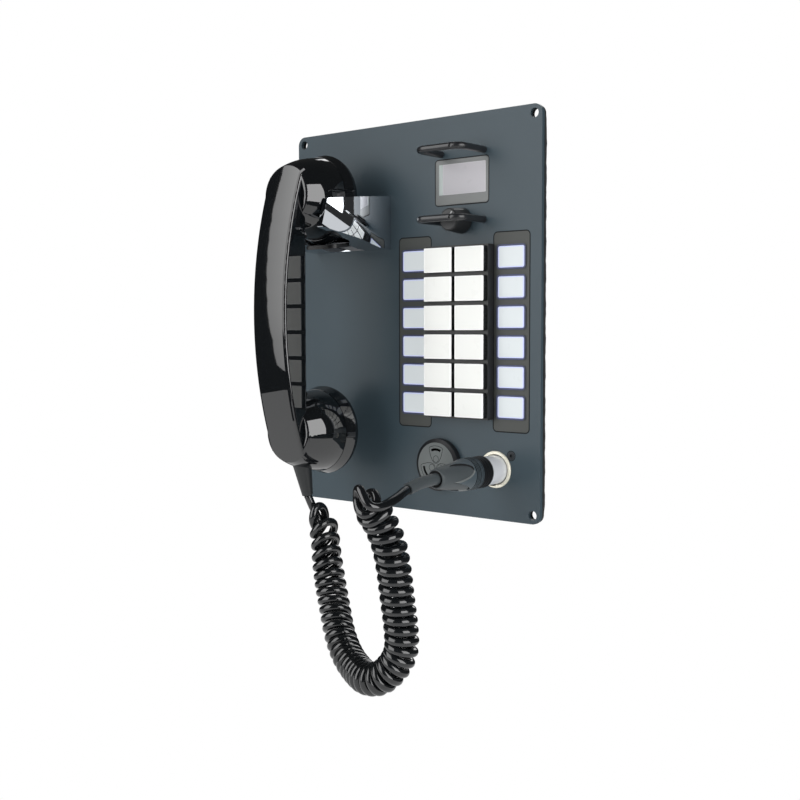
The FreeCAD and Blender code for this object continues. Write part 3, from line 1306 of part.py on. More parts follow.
def main_board():
    half_w = MAIN_BOARD_W / 2
    half_h = MAIN_BOARD_H / 2
    board = box(-half_w, half_w, MAIN_BOARD_Y, MAIN_BOARD_Y + BOARD_T, -half_h, half_h)
    board = without(board, [rod(x, z, BOARD_SCREW_R + THREAD, MAIN_BOARD_Y - 1, MAIN_BOARD_Y + BOARD_T + 1)
                            for x, z in post_places()])
    return joined([board, terminal_block()] + audio_transformers())


def terminal_block():
    half_w = TERMINAL_W / 2
    half_h = TERMINAL_H / 2
    back = COVER_BACK + TERMINAL_PROUD
    block = box(-half_w, half_w, MAIN_BOARD_Y + BOARD_T, back, TERMINAL_Z - half_h, TERMINAL_Z + half_h)
    wells = [rod(dx, TERMINAL_Z + half_h / 3, TERMINAL_HOLE_R, back - TERMINAL_HOLE_DEPTH, back + 1)
             for dx in grid(TERMINAL_WAYS, TERMINAL_W / TERMINAL_WAYS)]
    return without(block, wells)


def audio_transformers():
    blocks = []
    back = MAIN_BOARD_Y + BOARD_T
    for z in grid(TRANSFORMER_COUNT, TRANSFORMER_PITCH):
        blocks.append(box(-2 * TRANSFORMER_SIZE, -TRANSFORMER_SIZE, back, back + TRANSFORMER_T,
                          z - TRANSFORMER_SIZE / 2, z + TRANSFORMER_SIZE / 2))
    return blocks


def cord_pieces(sleeve):
    coil = tube(COIL_ROUTE, COIL_R, "cord_coil")
    handset_end = tube(HANDSET_ROUTE, WIRE_R, "cord_handset_end").cut(coil)
    plug_end = without(tube(PLUG_ROUTE, WIRE_R, "cord_plug_end"), [coil, sleeve])
    return {"cord_coil": coil, "cord_handset_end": handset_end, "cord_plug_end": plug_end}


def build():
    parts = {
        "front_panel": front_panel(),
        "panel_gasket": panel_gasket(),
        "rear_tray": rear_tray(),
        "tray_nuts": tray_nuts(),
        "rear_cover": rear_cover(),
        "rear_cover_screws": rear_cover_screws(),
        "key_frame": key_frame(),
        "key_board": key_board(),
        "board_screws": board_screws(),
        "label_bezels": label_bezels(),
        "legend_displays": legend_displays(),
        "display_window": display_window(),
        "display_module": display_module(),
        "display_guard": guard_bar(GUARD_UPPER_Z),
        "knob_guard": guard_bar(GUARD_LOWER_Z),
        "guard_screws": guard_screws(),
        "volume_pot": volume_pot(),
        "pot_nut": pot_nut(),
        "pot_shaft": pot_shaft(),
        "volume_knob": volume_knob(),
        "cradle_body": cradle_body(),
        "cradle_screws": cradle_screws(),
        "hook_bracket": hook_bracket(),
        "hook_pin": hook_pin(),
        "hook_lever": hook_lever(),
        "hook_spring": hook_spring(),
        "hook_switch": hook_switch(),
        "handset_body": handset_body(),
        "ear_cap": handset_cap(EAR_Z, 1),
        "mouth_cap": handset_cap(MOUTH_Z, 2),
        "receiver_capsule": capsule(EAR_Z),
        "transmitter_capsule": capsule(MOUTH_Z),
        "handset_relief": handset_relief(),
        "sounder_cap": sounder_cap(),
        "sounder_body": sounder_body(),
        "socket_shell": socket_shell(),
        "socket_insert": socket_insert(),
        "socket_screws": socket_screws(),
        "plug_shell": plug_shell(),
        "plug_latch": plug_latch(),
        "plug_collar": plug_collar(),
        "plug_backshell": plug_backshell(),
        "plug_boot": plug_boot(),
        "plug_sleeve": plug_sleeve(),
        "main_board": main_board(),
    }
    parts.update(cord_pieces(parts["plug_sleeve"]))
    for number, (x, z) in enumerate(key_places(), 1):
        parts["key_%02d" % number] = key(x, z)
    return parts


os.makedirs("parts", exist_ok=True)
for node, shape in build().items():
    shape.exportStep("parts/" + node + ".step")
    print(node, len(shape.Solids), round(shape.Volume, 1), shape.isValid())
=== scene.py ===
import bpy
import bmesh
import math
import numpy as np
from mathutils import Matrix, Vector


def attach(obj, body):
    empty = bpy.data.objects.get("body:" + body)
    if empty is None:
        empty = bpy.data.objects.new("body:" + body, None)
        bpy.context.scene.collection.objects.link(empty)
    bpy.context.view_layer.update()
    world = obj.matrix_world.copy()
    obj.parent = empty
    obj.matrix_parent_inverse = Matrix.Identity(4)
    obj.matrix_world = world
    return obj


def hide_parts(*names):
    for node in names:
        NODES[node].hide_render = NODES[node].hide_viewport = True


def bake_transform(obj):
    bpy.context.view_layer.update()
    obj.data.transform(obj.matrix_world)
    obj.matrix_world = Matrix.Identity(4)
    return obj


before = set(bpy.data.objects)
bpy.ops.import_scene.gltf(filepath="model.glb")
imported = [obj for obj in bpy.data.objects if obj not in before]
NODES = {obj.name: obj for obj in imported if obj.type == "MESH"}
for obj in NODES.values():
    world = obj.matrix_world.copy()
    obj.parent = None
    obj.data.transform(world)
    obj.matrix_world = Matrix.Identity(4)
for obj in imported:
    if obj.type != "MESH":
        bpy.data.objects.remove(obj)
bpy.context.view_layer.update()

MM = 0.001
ROOT = "station"
WHITE = (1.0, 1.0, 1.0, 1.0)

# What follows the CAD, in millimetres across and up from the middle of the four fixing holes
CRADLE_X = -52.5
CRADLE_BOTTOM = 46.4
CRADLE_SLOPE = 0.211
KEYS_X = 43.5
KEYS_Z = -10.0
KEY_ROWS = 6
BEZEL_OFF = 39.2
BEZELS_X = (KEYS_X - BEZEL_OFF, KEYS_X + BEZEL_OFF)
KNOB_X = 43.7
KNOB_Z = 62.4
SOCKET_X = 70.9
SOCKET_Z = -98.2
SOUNDER_X = 25.9
SOUNDER_Z = -98.2
DISPLAY_X = 43.3
DISPLAY_Z = 88.0


# Shader sockets that can be written as sums

class Sock:
    tree = None

    def __init__(self, out):
        self.out = out

    def __add__(self, other):
        return calc("ADD", self, other)

    def __sub__(self, other):
        return calc("SUBTRACT", self, other)

    def __rsub__(self, other):
        return calc("SUBTRACT", other, self)

    def __mul__(self, other):
        return calc("MULTIPLY", self, other)

    __radd__ = __add__
    __rmul__ = __mul__


def node(kind, sockets, output=0, **settings):
    # Any node: its settings first, then its sockets' values or links; it gives back one output
    made = Sock.tree.nodes.new(kind)
    for key, value in settings.items():
        setattr(made, key, value)
    for name, value in sockets.items():
        if isinstance(value, Sock):
            Sock.tree.links.new(value.out, made.inputs[name])
        else:
            made.inputs[name].default_value = value
    return Sock(made.outputs[output]) if len(made.outputs) else None


def calc(operation, a, b=0.0):
    return node("ShaderNodeMath", {0: a, 1: b}, operation=operation)


def ramp(value, low, high):
    # A smooth step from 0 at low to 1 at high
    return node("ShaderNodeMapRange", {"Value": value, "From Min": low, "From Max": high},
                interpolation_type="SMOOTHSTEP")


def rgba(color):
    return color if isinstance(color, Sock) else (*color, 1.0)


def blend_colors(factor, a, b):
    return node("ShaderNodeMix", {0: factor, 6: rgba(a), 7: rgba(b)}, output=2, data_type="RGBA")


def blend_vectors(factor, a, b):
    return node("ShaderNodeMix", {0: factor, 4: a, 5: b}, output=1, data_type="VECTOR")


def vector(x, y, z):
    return node("ShaderNodeCombineXYZ", {0: x, 1: y, 2: z})


def axis_of(where, axis):
    return node("ShaderNodeSeparateXYZ", {0: where}, output=axis)


def place(kind="Object"):
    return node("ShaderNodeTexCoord", {}, output=kind)


def place_mm(middle_x=0.0, middle_z=0.0):
    # A point's place in millimetres, with x and z counted from a middle
    at = place()
    x, y, z = [axis_of(at, axis) * (1.0 / MM) for axis in range(3)]
    return x - middle_x, y, z - middle_z


def faces_front(normal, least):
    # 1 where a face looks forwards by more than this share, and 0 elsewhere
    return calc("GREATER_THAN", axis_of(normal, 1) * -1.0, least)


def noise(scale, detail=2.0, where=None):
    return node("ShaderNodeTexNoise", {"Vector": where or place(), "Scale": scale, "Detail": detail})


def scaled(where, factors):
    return node("ShaderNodeMapping", {"Vector": where, "Scale": factors})


def shade(color, factor):
    return tuple(min(1.0, c * factor) for c in color)


def material(name):
    made = bpy.data.materials.new(name)
    made.use_nodes = True
    made.node_tree.nodes.clear()
    Sock.tree = made.node_tree
    return made


def shown(shader):
    node("ShaderNodeOutputMaterial", {0: shader})


COAT_ROUGH = 0.1


def surface(base, rough, metal=0.0, coat=0.0, specular=0.5, ior=1.5, bump=None, bump_mm=0.0, glow=None,
            glow_strength=0.0, normal=None):
    sockets = {"Base Color": rgba(base), "Roughness": rough, "Metallic": metal, "Coat Weight": coat,
               "Coat Roughness": COAT_ROUGH, "Specular IOR Level": specular, "IOR": ior}
    if glow is not None:
        sockets["Emission Color"] = rgba(glow)
        sockets["Emission Strength"] = glow_strength
    if bump is not None:
        normal = node("ShaderNodeBump", {"Height": bump, "Strength": 1.0, "Distance": bump_mm * MM})
    if normal is not None:
        sockets["Normal"] = normal
    shown(node("ShaderNodeBsdfPrincipled", sockets))


def finish(name, color, rough, spread=0.08, cloud=12.0, grain=900.0, grain_mm=0.01, rough_vary=0.06, **more):
    # A colour with slow mottling, and fine grain in its roughness and bump
    made = material(name)
    mottle = noise(cloud, detail=3.0)
    fine = noise(grain)
    base = blend_colors(ramp(mottle, 0.3, 0.7), shade(color, 1 - spread), shade(color, 1 + spread))
    surface(base, fine * rough_vary + (rough - rough_vary / 2), bump=fine, bump_mm=grain_mm, **more)
    return made


def brushed(name, color, rough, stretch, rough_vary=0.16):
    # Metal with fine lines square to the axis that is stretched most, or an even grain where none is
    made = material(name)
    lines = noise(1.0, detail=3.0, where=scaled(place(), stretch))
    cloud = noise(25.0)
    base = blend_colors(lines * 0.5 + cloud * 0.5, shade(color, 0.86), shade(color, 1.1))
    surface(base, lines * rough_vary + (rough - rough_vary / 2), metal=1.0, bump=lines, bump_mm=0.008)
    return made


M = {}
M["paint"] = finish("panel paint", (0.036, 0.057, 0.071), 0.40, spread=0.05, cloud=9.0, grain=1500.0,
                    grain_mm=0.018, specular=0.38)
M["gasket"] = finish("gasket rubber", (0.016, 0.017, 0.018), 0.75, grain=500.0, grain_mm=0.05)
M["bezel"] = finish("bezel print", (0.058, 0.062, 0.058), 0.5, spread=0.04, grain=1100.0, grain_mm=0.008,
                    specular=0.35)
M["halo"] = finish("legend halo", (0.045, 0.055, 0.125), 0.5, spread=0.1)
M["black"] = finish("moulded black", (0.012, 0.013, 0.014), 0.42, grain=1400.0, grain_mm=0.012)
M["key side"] = finish("key side black", (0.010, 0.011, 0.012), 0.28, grain_mm=0.006)
M["gloss"] = finish("handset plastic", (0.004, 0.005, 0.006), 0.045, spread=0.15, grain=700.0,
                    grain_mm=0.0004, rough_vary=0.02, ior=1.8)
M["cord"] = finish("cord jacket", (0.005, 0.006, 0.007), 0.12, spread=0.12, cloud=60.0, grain_mm=0.001,
                   rough_vary=0.04, ior=1.7)
M["rubber"] = finish("boot rubber", (0.048, 0.058, 0.063), 0.5, spread=0.06, grain=1500.0)
M["relief"] = finish("relief rubber", (0.014, 0.016, 0.017), 0.38, spread=0.06, grain=1500.0, grain_mm=0.008)
M["guard"] = finish("black coat", (0.013, 0.014, 0.016), 0.3, grain=1300.0, grain_mm=0.012, coat=0.3)
M["knob"] = finish("knob plastic", (0.013, 0.014, 0.015), 0.38, grain=1300.0)
M["pointer"] = finish("pointer paint", (0.32, 0.33, 0.33), 0.5)
M["collar"] = finish("collar plastic", (0.005, 0.006, 0.007), 0.42, grain=1200.0, specular=0.3)
M["ring"] = finish("cream nickel", (0.86, 0.83, 0.70), 0.34, spread=0.05, grain=800.0, grain_mm=0.004,
                   metal=0.3)
M["finger"] = finish("backshell plastic", (0.050, 0.068, 0.080), 0.42, spread=0.06, grain=1500.0)
# Near-black for grooves and for painted shade lines beside edges; the next one is a light grey painted
# highlight for edges
M["groove_and_shade"] = finish("groove black", (0.008, 0.009, 0.010), 0.6, specular=0.15)
M["painted_highlight"] = finish("painted highlight edge", (0.17, 0.185, 0.185), 0.5)
M["silver"] = finish("plug silver", (0.66, 0.68, 0.71), 0.3, spread=0.04, grain=700.0, grain_mm=0.002,
                     metal=0.25)
M["dark metal"] = finish("black screw", (0.03, 0.034, 0.038), 0.4, metal=0.6)
M["board"] = finish("solder resist", (0.015, 0.09, 0.035), 0.35, grain=600.0)
# The strip's faint glow is a painted glow
M["screen strip"] = finish("display strip", (0.33, 0.375, 0.365), 0.4, spread=0.05, cloud=40.0,
                           glow=(0.42, 0.47, 0.46), glow_strength=0.06)
M["surround"] = finish("display surround", (0.14, 0.148, 0.146), 0.35, spread=0.05, grain_mm=0.004)
M["zinc"] = brushed("zinc sheet", (0.56, 0.57, 0.58), 0.38, (40.0, 40.0, 900.0))
M["screw"] = brushed("zinc screw", (0.6, 0.6, 0.58), 0.3, (700.0, 700.0, 700.0))
M["capsule"] = brushed("capsule metal", (0.6, 0.6, 0.6), 0.35, (300.0, 300.0, 300.0))


# The bend of the cradle's outer sides: degrees, and millimetres from its middle or its lower edge

SIDE_FROM_X = 26.0
SIDE_FACING = 0.85
SIDE_TURN_PER_MM = 0.43
SIDE_TURN_MOST = 23.0
SIDE_TIP_PER_MM = 1.4
SIDE_TIP_MOST = 17.0
TIP_LINE_SLOPE = 0.39
TIP_LINE_DROP = 9.4


def bent_chrome():
    # The cradle's outer sides are mirrors that curve inwards towards the nose and under at their lower edge
    made = material("cradle chrome")
    x, y, z = place_mm(CRADLE_X)
    facing = place("Normal")
    across = axis_of(facing, 0)
    sign = calc("SIGN", across)
    outer = calc("GREATER_THAN", x * sign, SIDE_FROM_X)
    outer = outer * calc("GREATER_THAN", calc("ABSOLUTE", across), SIDE_FACING)
    turn = calc("MINIMUM", y * -math.radians(SIDE_TURN_PER_MM), math.radians(SIDE_TURN_MOST))
    above_edge = z + y * CRADLE_SLOPE - CRADLE_BOTTOM
    above_line = above_edge + y * TIP_LINE_SLOPE + TIP_LINE_DROP
    tip = above_line * math.radians(SIDE_TIP_PER_MM) - math.radians(SIDE_TIP_MOST)
    tip = calc("MINIMUM", tip, 0.0)
    level = calc("COSINE", tip)
    bent = vector(sign * calc("COSINE", turn) * level, calc("SINE", turn) * level * -1.0, calc("SINE", tip))
    surface((0.66, 0.69, 0.73), noise(300.0) * 0.02 + 0.02, metal=1.0,
            normal=blend_vectors(outer, facing, bent))
    return made


M["cradle"] = bent_chrome()


# How far the sounder's face leans per millimetre from its middle, across and up

DISH_ACROSS = 0.022
DISH_UP = 0.012


def sounder_paint_and_shade():
    # The sounder's cap: grey on its slightly dished front, with near-black painted shade on its side and
    # bevel
    made = material("sounder paint and painted shade")
    x, y, z = place_mm(SOUNDER_X, SOUNDER_Z)
    facing = place("Normal")
    front = faces_front(facing, least=0.93)
    dish = vector(x * -DISH_ACROSS, -1.0, z * -DISH_UP)
    dish = node("ShaderNodeVectorMath", {0: dish}, operation="NORMALIZE")
    grey = blend_colors(noise(60.0, detail=3.0), (0.10, 0.112, 0.112), (0.14, 0.155, 0.154))
    # Faces that do not look forwards get near-black painted shade; the front keeps the grey
    surface(blend_colors(front, (0.008, 0.009, 0.011), grey), noise(1400.0) * 0.06 + 0.42, specular=0.35,
            normal=blend_vectors(front, facing, dish))
    return made


M["sounder"] = sounder_paint_and_shade()


# The arc of the handle's front face, and the fine line beside its rounded edges, in millimetres

ARC_Y = 190.25
ARC_Z = 1.5
ARC_R = 272.4
HANDLE_FRONT_Y = -61.3
HANDLE_FRONT_HALF = 13.2
LINE_FROM = 12.7
LINE_TO = 14.0
# The line's normal: how far it looks forwards and down, and how the second grows with the height
LINE_AHEAD = 0.985
LINE_DOWN = 0.152
LINE_DOWN_PER_MM = 0.00032
LINE_DOWN_Z = -40.0


def handle_gloss():
    # Polished black, with the handle's front face a true arc right up to its rounded edges
    made = material("handset gloss")
    x, y, z = place_mm(CRADLE_X)
    facing = place("Normal")
    off = calc("ABSOLUTE", x)
    forward = calc("LESS_THAN", y, HANDLE_FRONT_Y)
    front = calc("LESS_THAN", off, HANDLE_FRONT_HALF) * forward * faces_front(facing, least=0.5)
    arc = vector(0.0, (y - ARC_Y) * (1.0 / ARC_R), (z - ARC_Z) * (1.0 / ARC_R))
    # A fine line beside the rounded edge looks down, and so stays black
    line = calc("GREATER_THAN", off, LINE_FROM) * calc("LESS_THAN", off, LINE_TO)
    line = line * forward * faces_front(facing, least=0.3)
    down = vector(0.0, -LINE_AHEAD, (z - LINE_DOWN_Z) * -LINE_DOWN_PER_MM - LINE_DOWN)
    base = blend_colors(noise(12.0, detail=3.0), (0.0034, 0.0043, 0.005), (0.0046, 0.0058, 0.007))
    surface(base, noise(700.0) * 0.008 + 0.012, ior=1.8,
            normal=blend_vectors(line, blend_vectors(front, facing, arc), down))
    return made


M["handle"] = handle_gloss()


def lens_material(name, middle, edge, edge_from, edge_to, glow):
    # A lens with a painted glow, an even emission that brightens it in place of light: its own UV runs 0 to 1
    # each way, and the colour changes near the rim
    made = material(name)
    uv = place("UV")
    across, up = [calc("ABSOLUTE", axis_of(uv, axis) - 0.5) * 2.0 for axis in range(2)]
    soft = noise(90.0)
    tint = blend_colors(soft, shade(middle, 0.99), middle)
    base = blend_colors(ramp(calc("MAXIMUM", across, up), edge_from, edge_to), tint, edge)
    surface(base, soft * 0.04 + 0.26, specular=0.2, glow=base, glow_strength=glow)
    return made


# The glow of each lens below is a painted glow
M["key lens"] = lens_material("key lens", (0.80, 0.81, 0.785), (0.90, 0.905, 0.90),
                              edge_from=0.86, edge_to=0.97, glow=0.02)
M["legend lens"] = lens_material("legend lens", (0.375, 0.40, 0.41), (0.33, 0.36, 0.56),
                                 edge_from=0.84, edge_to=1.0, glow=0.9)
M["screen"] = lens_material("display screen", (0.44, 0.43, 0.455), (0.50, 0.49, 0.515),
                            edge_from=0.93, edge_to=1.0, glow=0.04)


# Mesh helpers: every size is in millimetres

def added(name, data):
    made = bpy.data.objects.new(name, data)
    bpy.context.scene.collection.objects.link(made)
    return made


def piece(name, bm, body, mats, replaced=(), sharp=32.0):
    bmesh.ops.recalc_face_normals(bm, faces=bm.faces)
    mesh = bpy.data.meshes.new(name)
    bm.to_mesh(mesh)
    bm.free()
    mesh.transform(Matrix.Diagonal((MM, MM, MM, 1.0)))
    mesh.shade_smooth()
    mesh.set_sharp_from_angle(angle=math.radians(sharp))
    for key in mats:
        mesh.materials.append(M[key])
    made = added(name, mesh)
    if body:
        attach(made, body)
    if replaced:
        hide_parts(*replaced)
    return made


def ring_of(bm, points):
    return [bm.verts.new(p) for p in points]


def bridge(bm, a, b, mat=0):
    count = len(a)
    for i in range(count):
        face = bm.faces.new((a[i], a[(i + 1) % count], b[(i + 1) % count], b[i]))
        face.material_index = mat


def loft(bm, rings, mat=0):
    # A skin over rings of as many points each, closed at both ends
    made = [ring_of(bm, points) for points in rings]
    for a, b in zip(made, made[1:]):
        bridge(bm, a, b, mat)
    bm.faces.new(made[0]).material_index = mat
    bm.faces.new(made[-1]).material_index = mat


def rounded_outline(x, z, width, height, corner, y, steps=5):
    points = []
    for k, (sx, sz) in enumerate(((1, 1), (-1, 1), (-1, -1), (1, -1))):
        cx = x + sx * (width / 2 - corner)
        cz = z + sz * (height / 2 - corner)
        for j in range(steps + 1):
            a = math.pi / 2 * (k + j / steps)
            points.append((cx + corner * math.cos(a), y, cz + corner * math.sin(a)))
    return points


def pad_rings(x, z, width, height, corner, y_back, y_front, edge, steps=3):
    # Rings of a plate from its back to its front, with a rounded front edge
    rings = [rounded_outline(x, z, width, height, corner, y_back)]
    for j in range(steps + 1):
        a = math.pi / 2 * j / steps
        inset = edge * (1 - math.cos(a))
        y = y_front + edge * (1 - math.sin(a))
        tighter = max(0.05, corner - inset)
        rings.append(rounded_outline(x, z, width - 2 * inset, height - 2 * inset, tighter, y))
    return rings


def around_circle(x, z, radius, count):
    # Points across and up, counter-clockwise from the right
    angles = [2 * math.pi * k / count for k in range(count)]
    return [(x + radius * math.cos(a), z + radius * math.sin(a)) for a in angles]


def circle(x, z, radius, y, count):
    return [(across, y, up) for across, up in around_circle(x, z, radius, count)]


def planar_uv(bm, x, z, width, height, first=0):
    # UV from 0 to 1 over a plate, on its faces from the first one on
    layer = bm.loops.layers.uv.verify()
    bm.faces.ensure_lookup_table()
    for face in bm.faces[first:]:
        for loop in face.loops:
            co = loop.vert.co
            loop[layer].uv = ((co.x - x) / width + 0.5, (co.z - z) / height + 0.5)


def unit(v):
    return v / np.linalg.norm(v)


def frames_along(points):
    # Two directions across a line at each of its points, carried along without twist
    tangents = np.gradient(points, axis=0)
    tangents /= np.linalg.norm(tangents, axis=1)[:, None]
    side = np.array((1.0, 0.0, 0.0))
    sides = []
    for t in tangents:
        side = unit(side - t * (side @ t))
        sides.append(side)
    sides = np.array(sides)
    return sides, np.cross(tangents, sides)


def wire_mesh(bm, points, radius, count):
    angles = [2 * math.pi * k / count for k in range(count)]
    loft(bm, [[tuple(p + radius * (math.cos(a) * s + math.sin(a) * u)) for a in angles]
              for p, s, u in zip(points, *frames_along(points))])


def nurbs_points(points, resolution):
    # Points read from a smooth spline whose control points are the route's
    curve = bpy.data.curves.new("route", "CURVE")
    curve.dimensions = "3D"
    curve.resolution_u = resolution
    spline = curve.splines.new("NURBS")
    spline.points.add(len(points) - 1)
    for here, p in zip(spline.points, points):
        here.co = (*p, 1.0)
    spline.order_u = 3
    spline.use_endpoint_u = True
    carrier = bpy.data.objects.new("route", curve)
    mesh = bpy.data.meshes.new_from_object(carrier)
    line = np.array([v.co for v in mesh.vertices], float).reshape(-1, 3)
    bpy.data.meshes.remove(mesh)
    bpy.data.objects.remove(carrier)
    return line


def even(line, step):
    # The line's points again, about a step apart, and how far along it each one is
    along = np.concatenate([[0], np.cumsum(np.linalg.norm(np.diff(line, axis=0), axis=1))])
    at = np.linspace(0, along[-1], max(2, int(math.ceil(along[-1] / step)) + 1))
    return np.stack([np.interp(at, along, line[:, k]) for k in range(3)], axis=1), at


# Camera, solved from the panel's corners and holes: metres, degrees, and millimetres of lens and sensor

CAMERA_PLACE = (0.499936, -0.609808, -0.007636)
CAMERA_YAW = 39.863
CAMERA_PITCH = -3.516
CAMERA_ROLL = -0.104
CAMERA_LENS = 52.19
SENSOR_WIDTH = 36.0


def camera():
    data = bpy.data.cameras.new("camera")
    data.sensor_width = SENSOR_WIDTH
    data.lens = CAMERA_LENS
    data.clip_start = 0.01
    data.clip_end = 20.0
    made = added("camera", data)
    yaw, pitch, roll = [math.radians(angle) for angle in (CAMERA_YAW, CAMERA_PITCH, CAMERA_ROLL)]
    ahead = Vector((-math.sin(yaw) * math.cos(pitch), math.cos(yaw) * math.cos(pitch), math.sin(pitch)))
    level = Vector((math.cos(yaw), math.sin(yaw), 0.0))
    upright = level.cross(ahead)
    right = level * math.cos(roll) + upright * math.sin(roll)
    up = upright * math.cos(roll) - level * math.sin(roll)
    turn = Matrix((right, up, -ahead)).transposed().to_4x4()
    made.matrix_world = Matrix.Translation(CAMERA_PLACE) @ turn
    bpy.context.scene.camera = made


# Floor and backdrop, in metres: white to the camera, and dark where gloss reflects them

FLOOR_Z = -0.42
FLOOR_HALF = 4.0
FLOOR_GREY = (0.62, 0.62, 0.62)
WORLD_FILL = 0.15
WORLD_GLOSS = 0.035


def ray(kind):
    return node("ShaderNodeLightPath", {}, output=kind)


def floor():
    made = material("floor")
    grey = node("ShaderNodeBsdfDiffuse", {"Color": rgba(FLOOR_GREY)})
    white = node("ShaderNodeEmission", {"Color": WHITE, "Strength": 1.0})
    dark = node("ShaderNodeEmission", {"Color": WHITE, "Strength": WORLD_GLOSS})
    seen = node("ShaderNodeMixShader", {0: ray("Is Camera Ray"), 1: grey, 2: white})
    shown(node("ShaderNodeMixShader", {0: ray("Is Glossy Ray"), 1: seen, 2: dark}))
    mesh = bpy.data.meshes.new("floor")
    signs = ((-1, -1), (1, -1), (1, 1), (-1, 1))
    mesh.from_pydata([(sx * FLOOR_HALF, sy * FLOOR_HALF, FLOOR_Z) for sx, sy in signs], [], [(0, 1, 2, 3)])
    mesh.materials.append(made)
    added("floor", mesh)


def backdrop():
    world = bpy.data.worlds.new("world")
    world.use_nodes = True
    world.node_tree.nodes.clear()
    Sock.tree = world.node_tree
    white = calc("MAXIMUM", ray("Is Camera Ray"), ray("Is Transmission Ray"))
    dim = ray("Is Glossy Ray") * (WORLD_GLOSS - WORLD_FILL) + WORLD_FILL
    back = node("ShaderNodeBackground", {"Color": WHITE, "Strength": white * (1.0 - dim) + dim})
    node("ShaderNodeOutputWorld", {0: back})
    bpy.context.scene.world = world
    bpy.context.scene.view_settings.view_transform = "Standard"


# Lamps, in metres: the two big ones stand upright round one point and face it

LAMPS_ROUND = Vector((0.0, -0.03, 0.0))
LAMP_DISTANCE = 1.5


def around_azimuth(azimuth):
    # The way out at an azimuth from straight in front of the panel, and the way along a lamp there
    a = math.radians(azimuth)
    return Vector((math.sin(a), -math.cos(a), 0.0)), Vector((math.cos(a), math.sin(a), 0.0))


def light(name, centre, back, width, height, level):
    # A softbox whose brightness is its level, with its back turned to the direction called back
    data = bpy.data.lights.new(name, "AREA")
    data.shape = "RECTANGLE"
    data.size = width
    data.size_y = height
    data.energy = level * math.pi * width * height
    made = added(name, data)
    made.location = centre
    made.rotation_mode = "QUATERNION"
    made.rotation_quaternion = (-back).to_track_quat("-Z", "Y")
    made.visible_camera = False


# The lamp on the left has a curved edge, so it is a glowing card: sideways and height, from the bottom up
CARD_EDGE = [(-0.309, -0.37), (-0.3115, -0.359), (-0.315, -0.323), (-0.311, -0.287), (-0.304, -0.218),
             (-0.2975, -0.15), (-0.298, -0.015), (-0.304, 0.119), (-0.32, 0.255), (-0.346, 0.394),
             (-0.384, 0.54), (-0.435, 0.694), (-0.504, 0.862), (-0.545, 0.952), (-0.593, 1.048),
             (-0.70, 1.25), (-1.0, 1.8)]
CARD_AZIMUTH = -35.0
CARD_RIGHT = 0.987
CARD_LEVEL = 2.8
CARD_STRIPS = (0.0, 0.03, 0.1)


def card():
    # It fades towards its curved edge and its foot: UV holds the distance from that edge and the height
    made = material("light card")
    uv = place("UV")
    fade = ramp(axis_of(uv, 0), -0.02, 0.08) * 0.4 + 0.6
    foot = ramp(axis_of(uv, 1), -0.5, 0.2) * 0.2 + 0.82
    shown(node("ShaderNodeEmission", {"Color": WHITE, "Strength": fade * foot * CARD_LEVEL}))
    out, side = around_azimuth(CARD_AZIMUTH)
    middle = LAMPS_ROUND + out * LAMP_DISTANCE
    bm = bmesh.new()
    layer = bm.loops.layers.uv.verify()
    rows = [[(edge + strip, z) for strip in CARD_STRIPS] + [(CARD_RIGHT, z)] for edge, z in CARD_EDGE]
    verts = [[bm.verts.new(middle + side * s + Vector((0.0, 0.0, z))) for s, z in row] for row in rows]
    for i in range(len(rows) - 1):
        for j in range(len(CARD_STRIPS)):
            corners = ((i, j), (i, j + 1), (i + 1, j + 1), (i + 1, j))
            face = bm.faces.new([verts[m][n] for m, n in corners])
            for loop, (m, n) in zip(face.loops, corners):
                loop[layer].uv = (rows[m][n][0] - rows[m][0][0], rows[m][n][1])
    mesh = bpy.data.meshes.new("light card")
    bm.to_mesh(mesh)
    bm.free()
    mesh.materials.append(made)
    lamp = added("light card", mesh)
    lamp.visible_camera = False


def right_box(azimuth=78.0, width=1.14, low=-0.35, high=1.2, level=3.8):
    out = around_azimuth(azimuth)[0]
    centre = LAMPS_ROUND + out * LAMP_DISTANCE + Vector((0.0, 0.0, (low + high) / 2))
    light("right box", centre, out, width, high - low, level)


camera()
floor()
backdrop()
card()
right_box()
light("floor box", centre=Vector((0.0, -0.2, -0.295)), back=Vector((0.0, 0.0, -1.0)), width=1.28, height=0.82,
      level=0.8)
light("back box", centre=Vector((-0.6, 1.6, 0.8)), back=Vector((-0.33, 0.85, 0.4)), width=1.2, height=1.2,
      level=2.4)


# The curly cord: the route of its coil, and the turns listed point by point at its two ends

WIRE_R = 2.75
WIRE_SIDES = 16
COIL_ROUTE = [(-45.0, -43.0, -134.5), (-41.5, -41.0, -143.5), (-37.5, -44.0, -161.0), (-31.5, -47.0, -178.5),
              (-22.0, -52.5, -194.0), (-11.5, -60.0, -207.0), (2.0, -67.0, -218.0), (18.0, -74.5, -223.0),
              (35.0, -84.5, -223.0), (51.5, -88.0, -218.0), (64.0, -86.0, -202.0), (66.0, -89.5, -184.0),
              (66.0, -93.5, -166.0), (67.0, -97.5, -148.0), (69.5, -105.0, -130.5), (67.0, -112.5, -114.5),
              (65.0, -118.0, -106.5)]
HEAD = [(-52.5, -46.6, -121.0), (-51.3, -45.5, -125.1), (-50.8, -43.5, -129.4), (-50.2, -41.3, -133.8),
        (-49.2, -39.4, -138.2), (-47.2, -41.0, -142.2), (-46.5, -45.4, -142.8), (-45.8, -48.7, -138.6),
        (-45.2, -49.1, -134.1), (-45.0, -47.8, -130.0), (-45.0, -44.8, -127.9), (-45.5, -40.8, -128.3),
        (-45.8, -37.4, -131.5), (-46.4, -35.7, -136.3), (-47.7, -35.3, -140.9), (-49.3, -36.4, -144.8),
        (-50.1, -39.7, -147.5)]
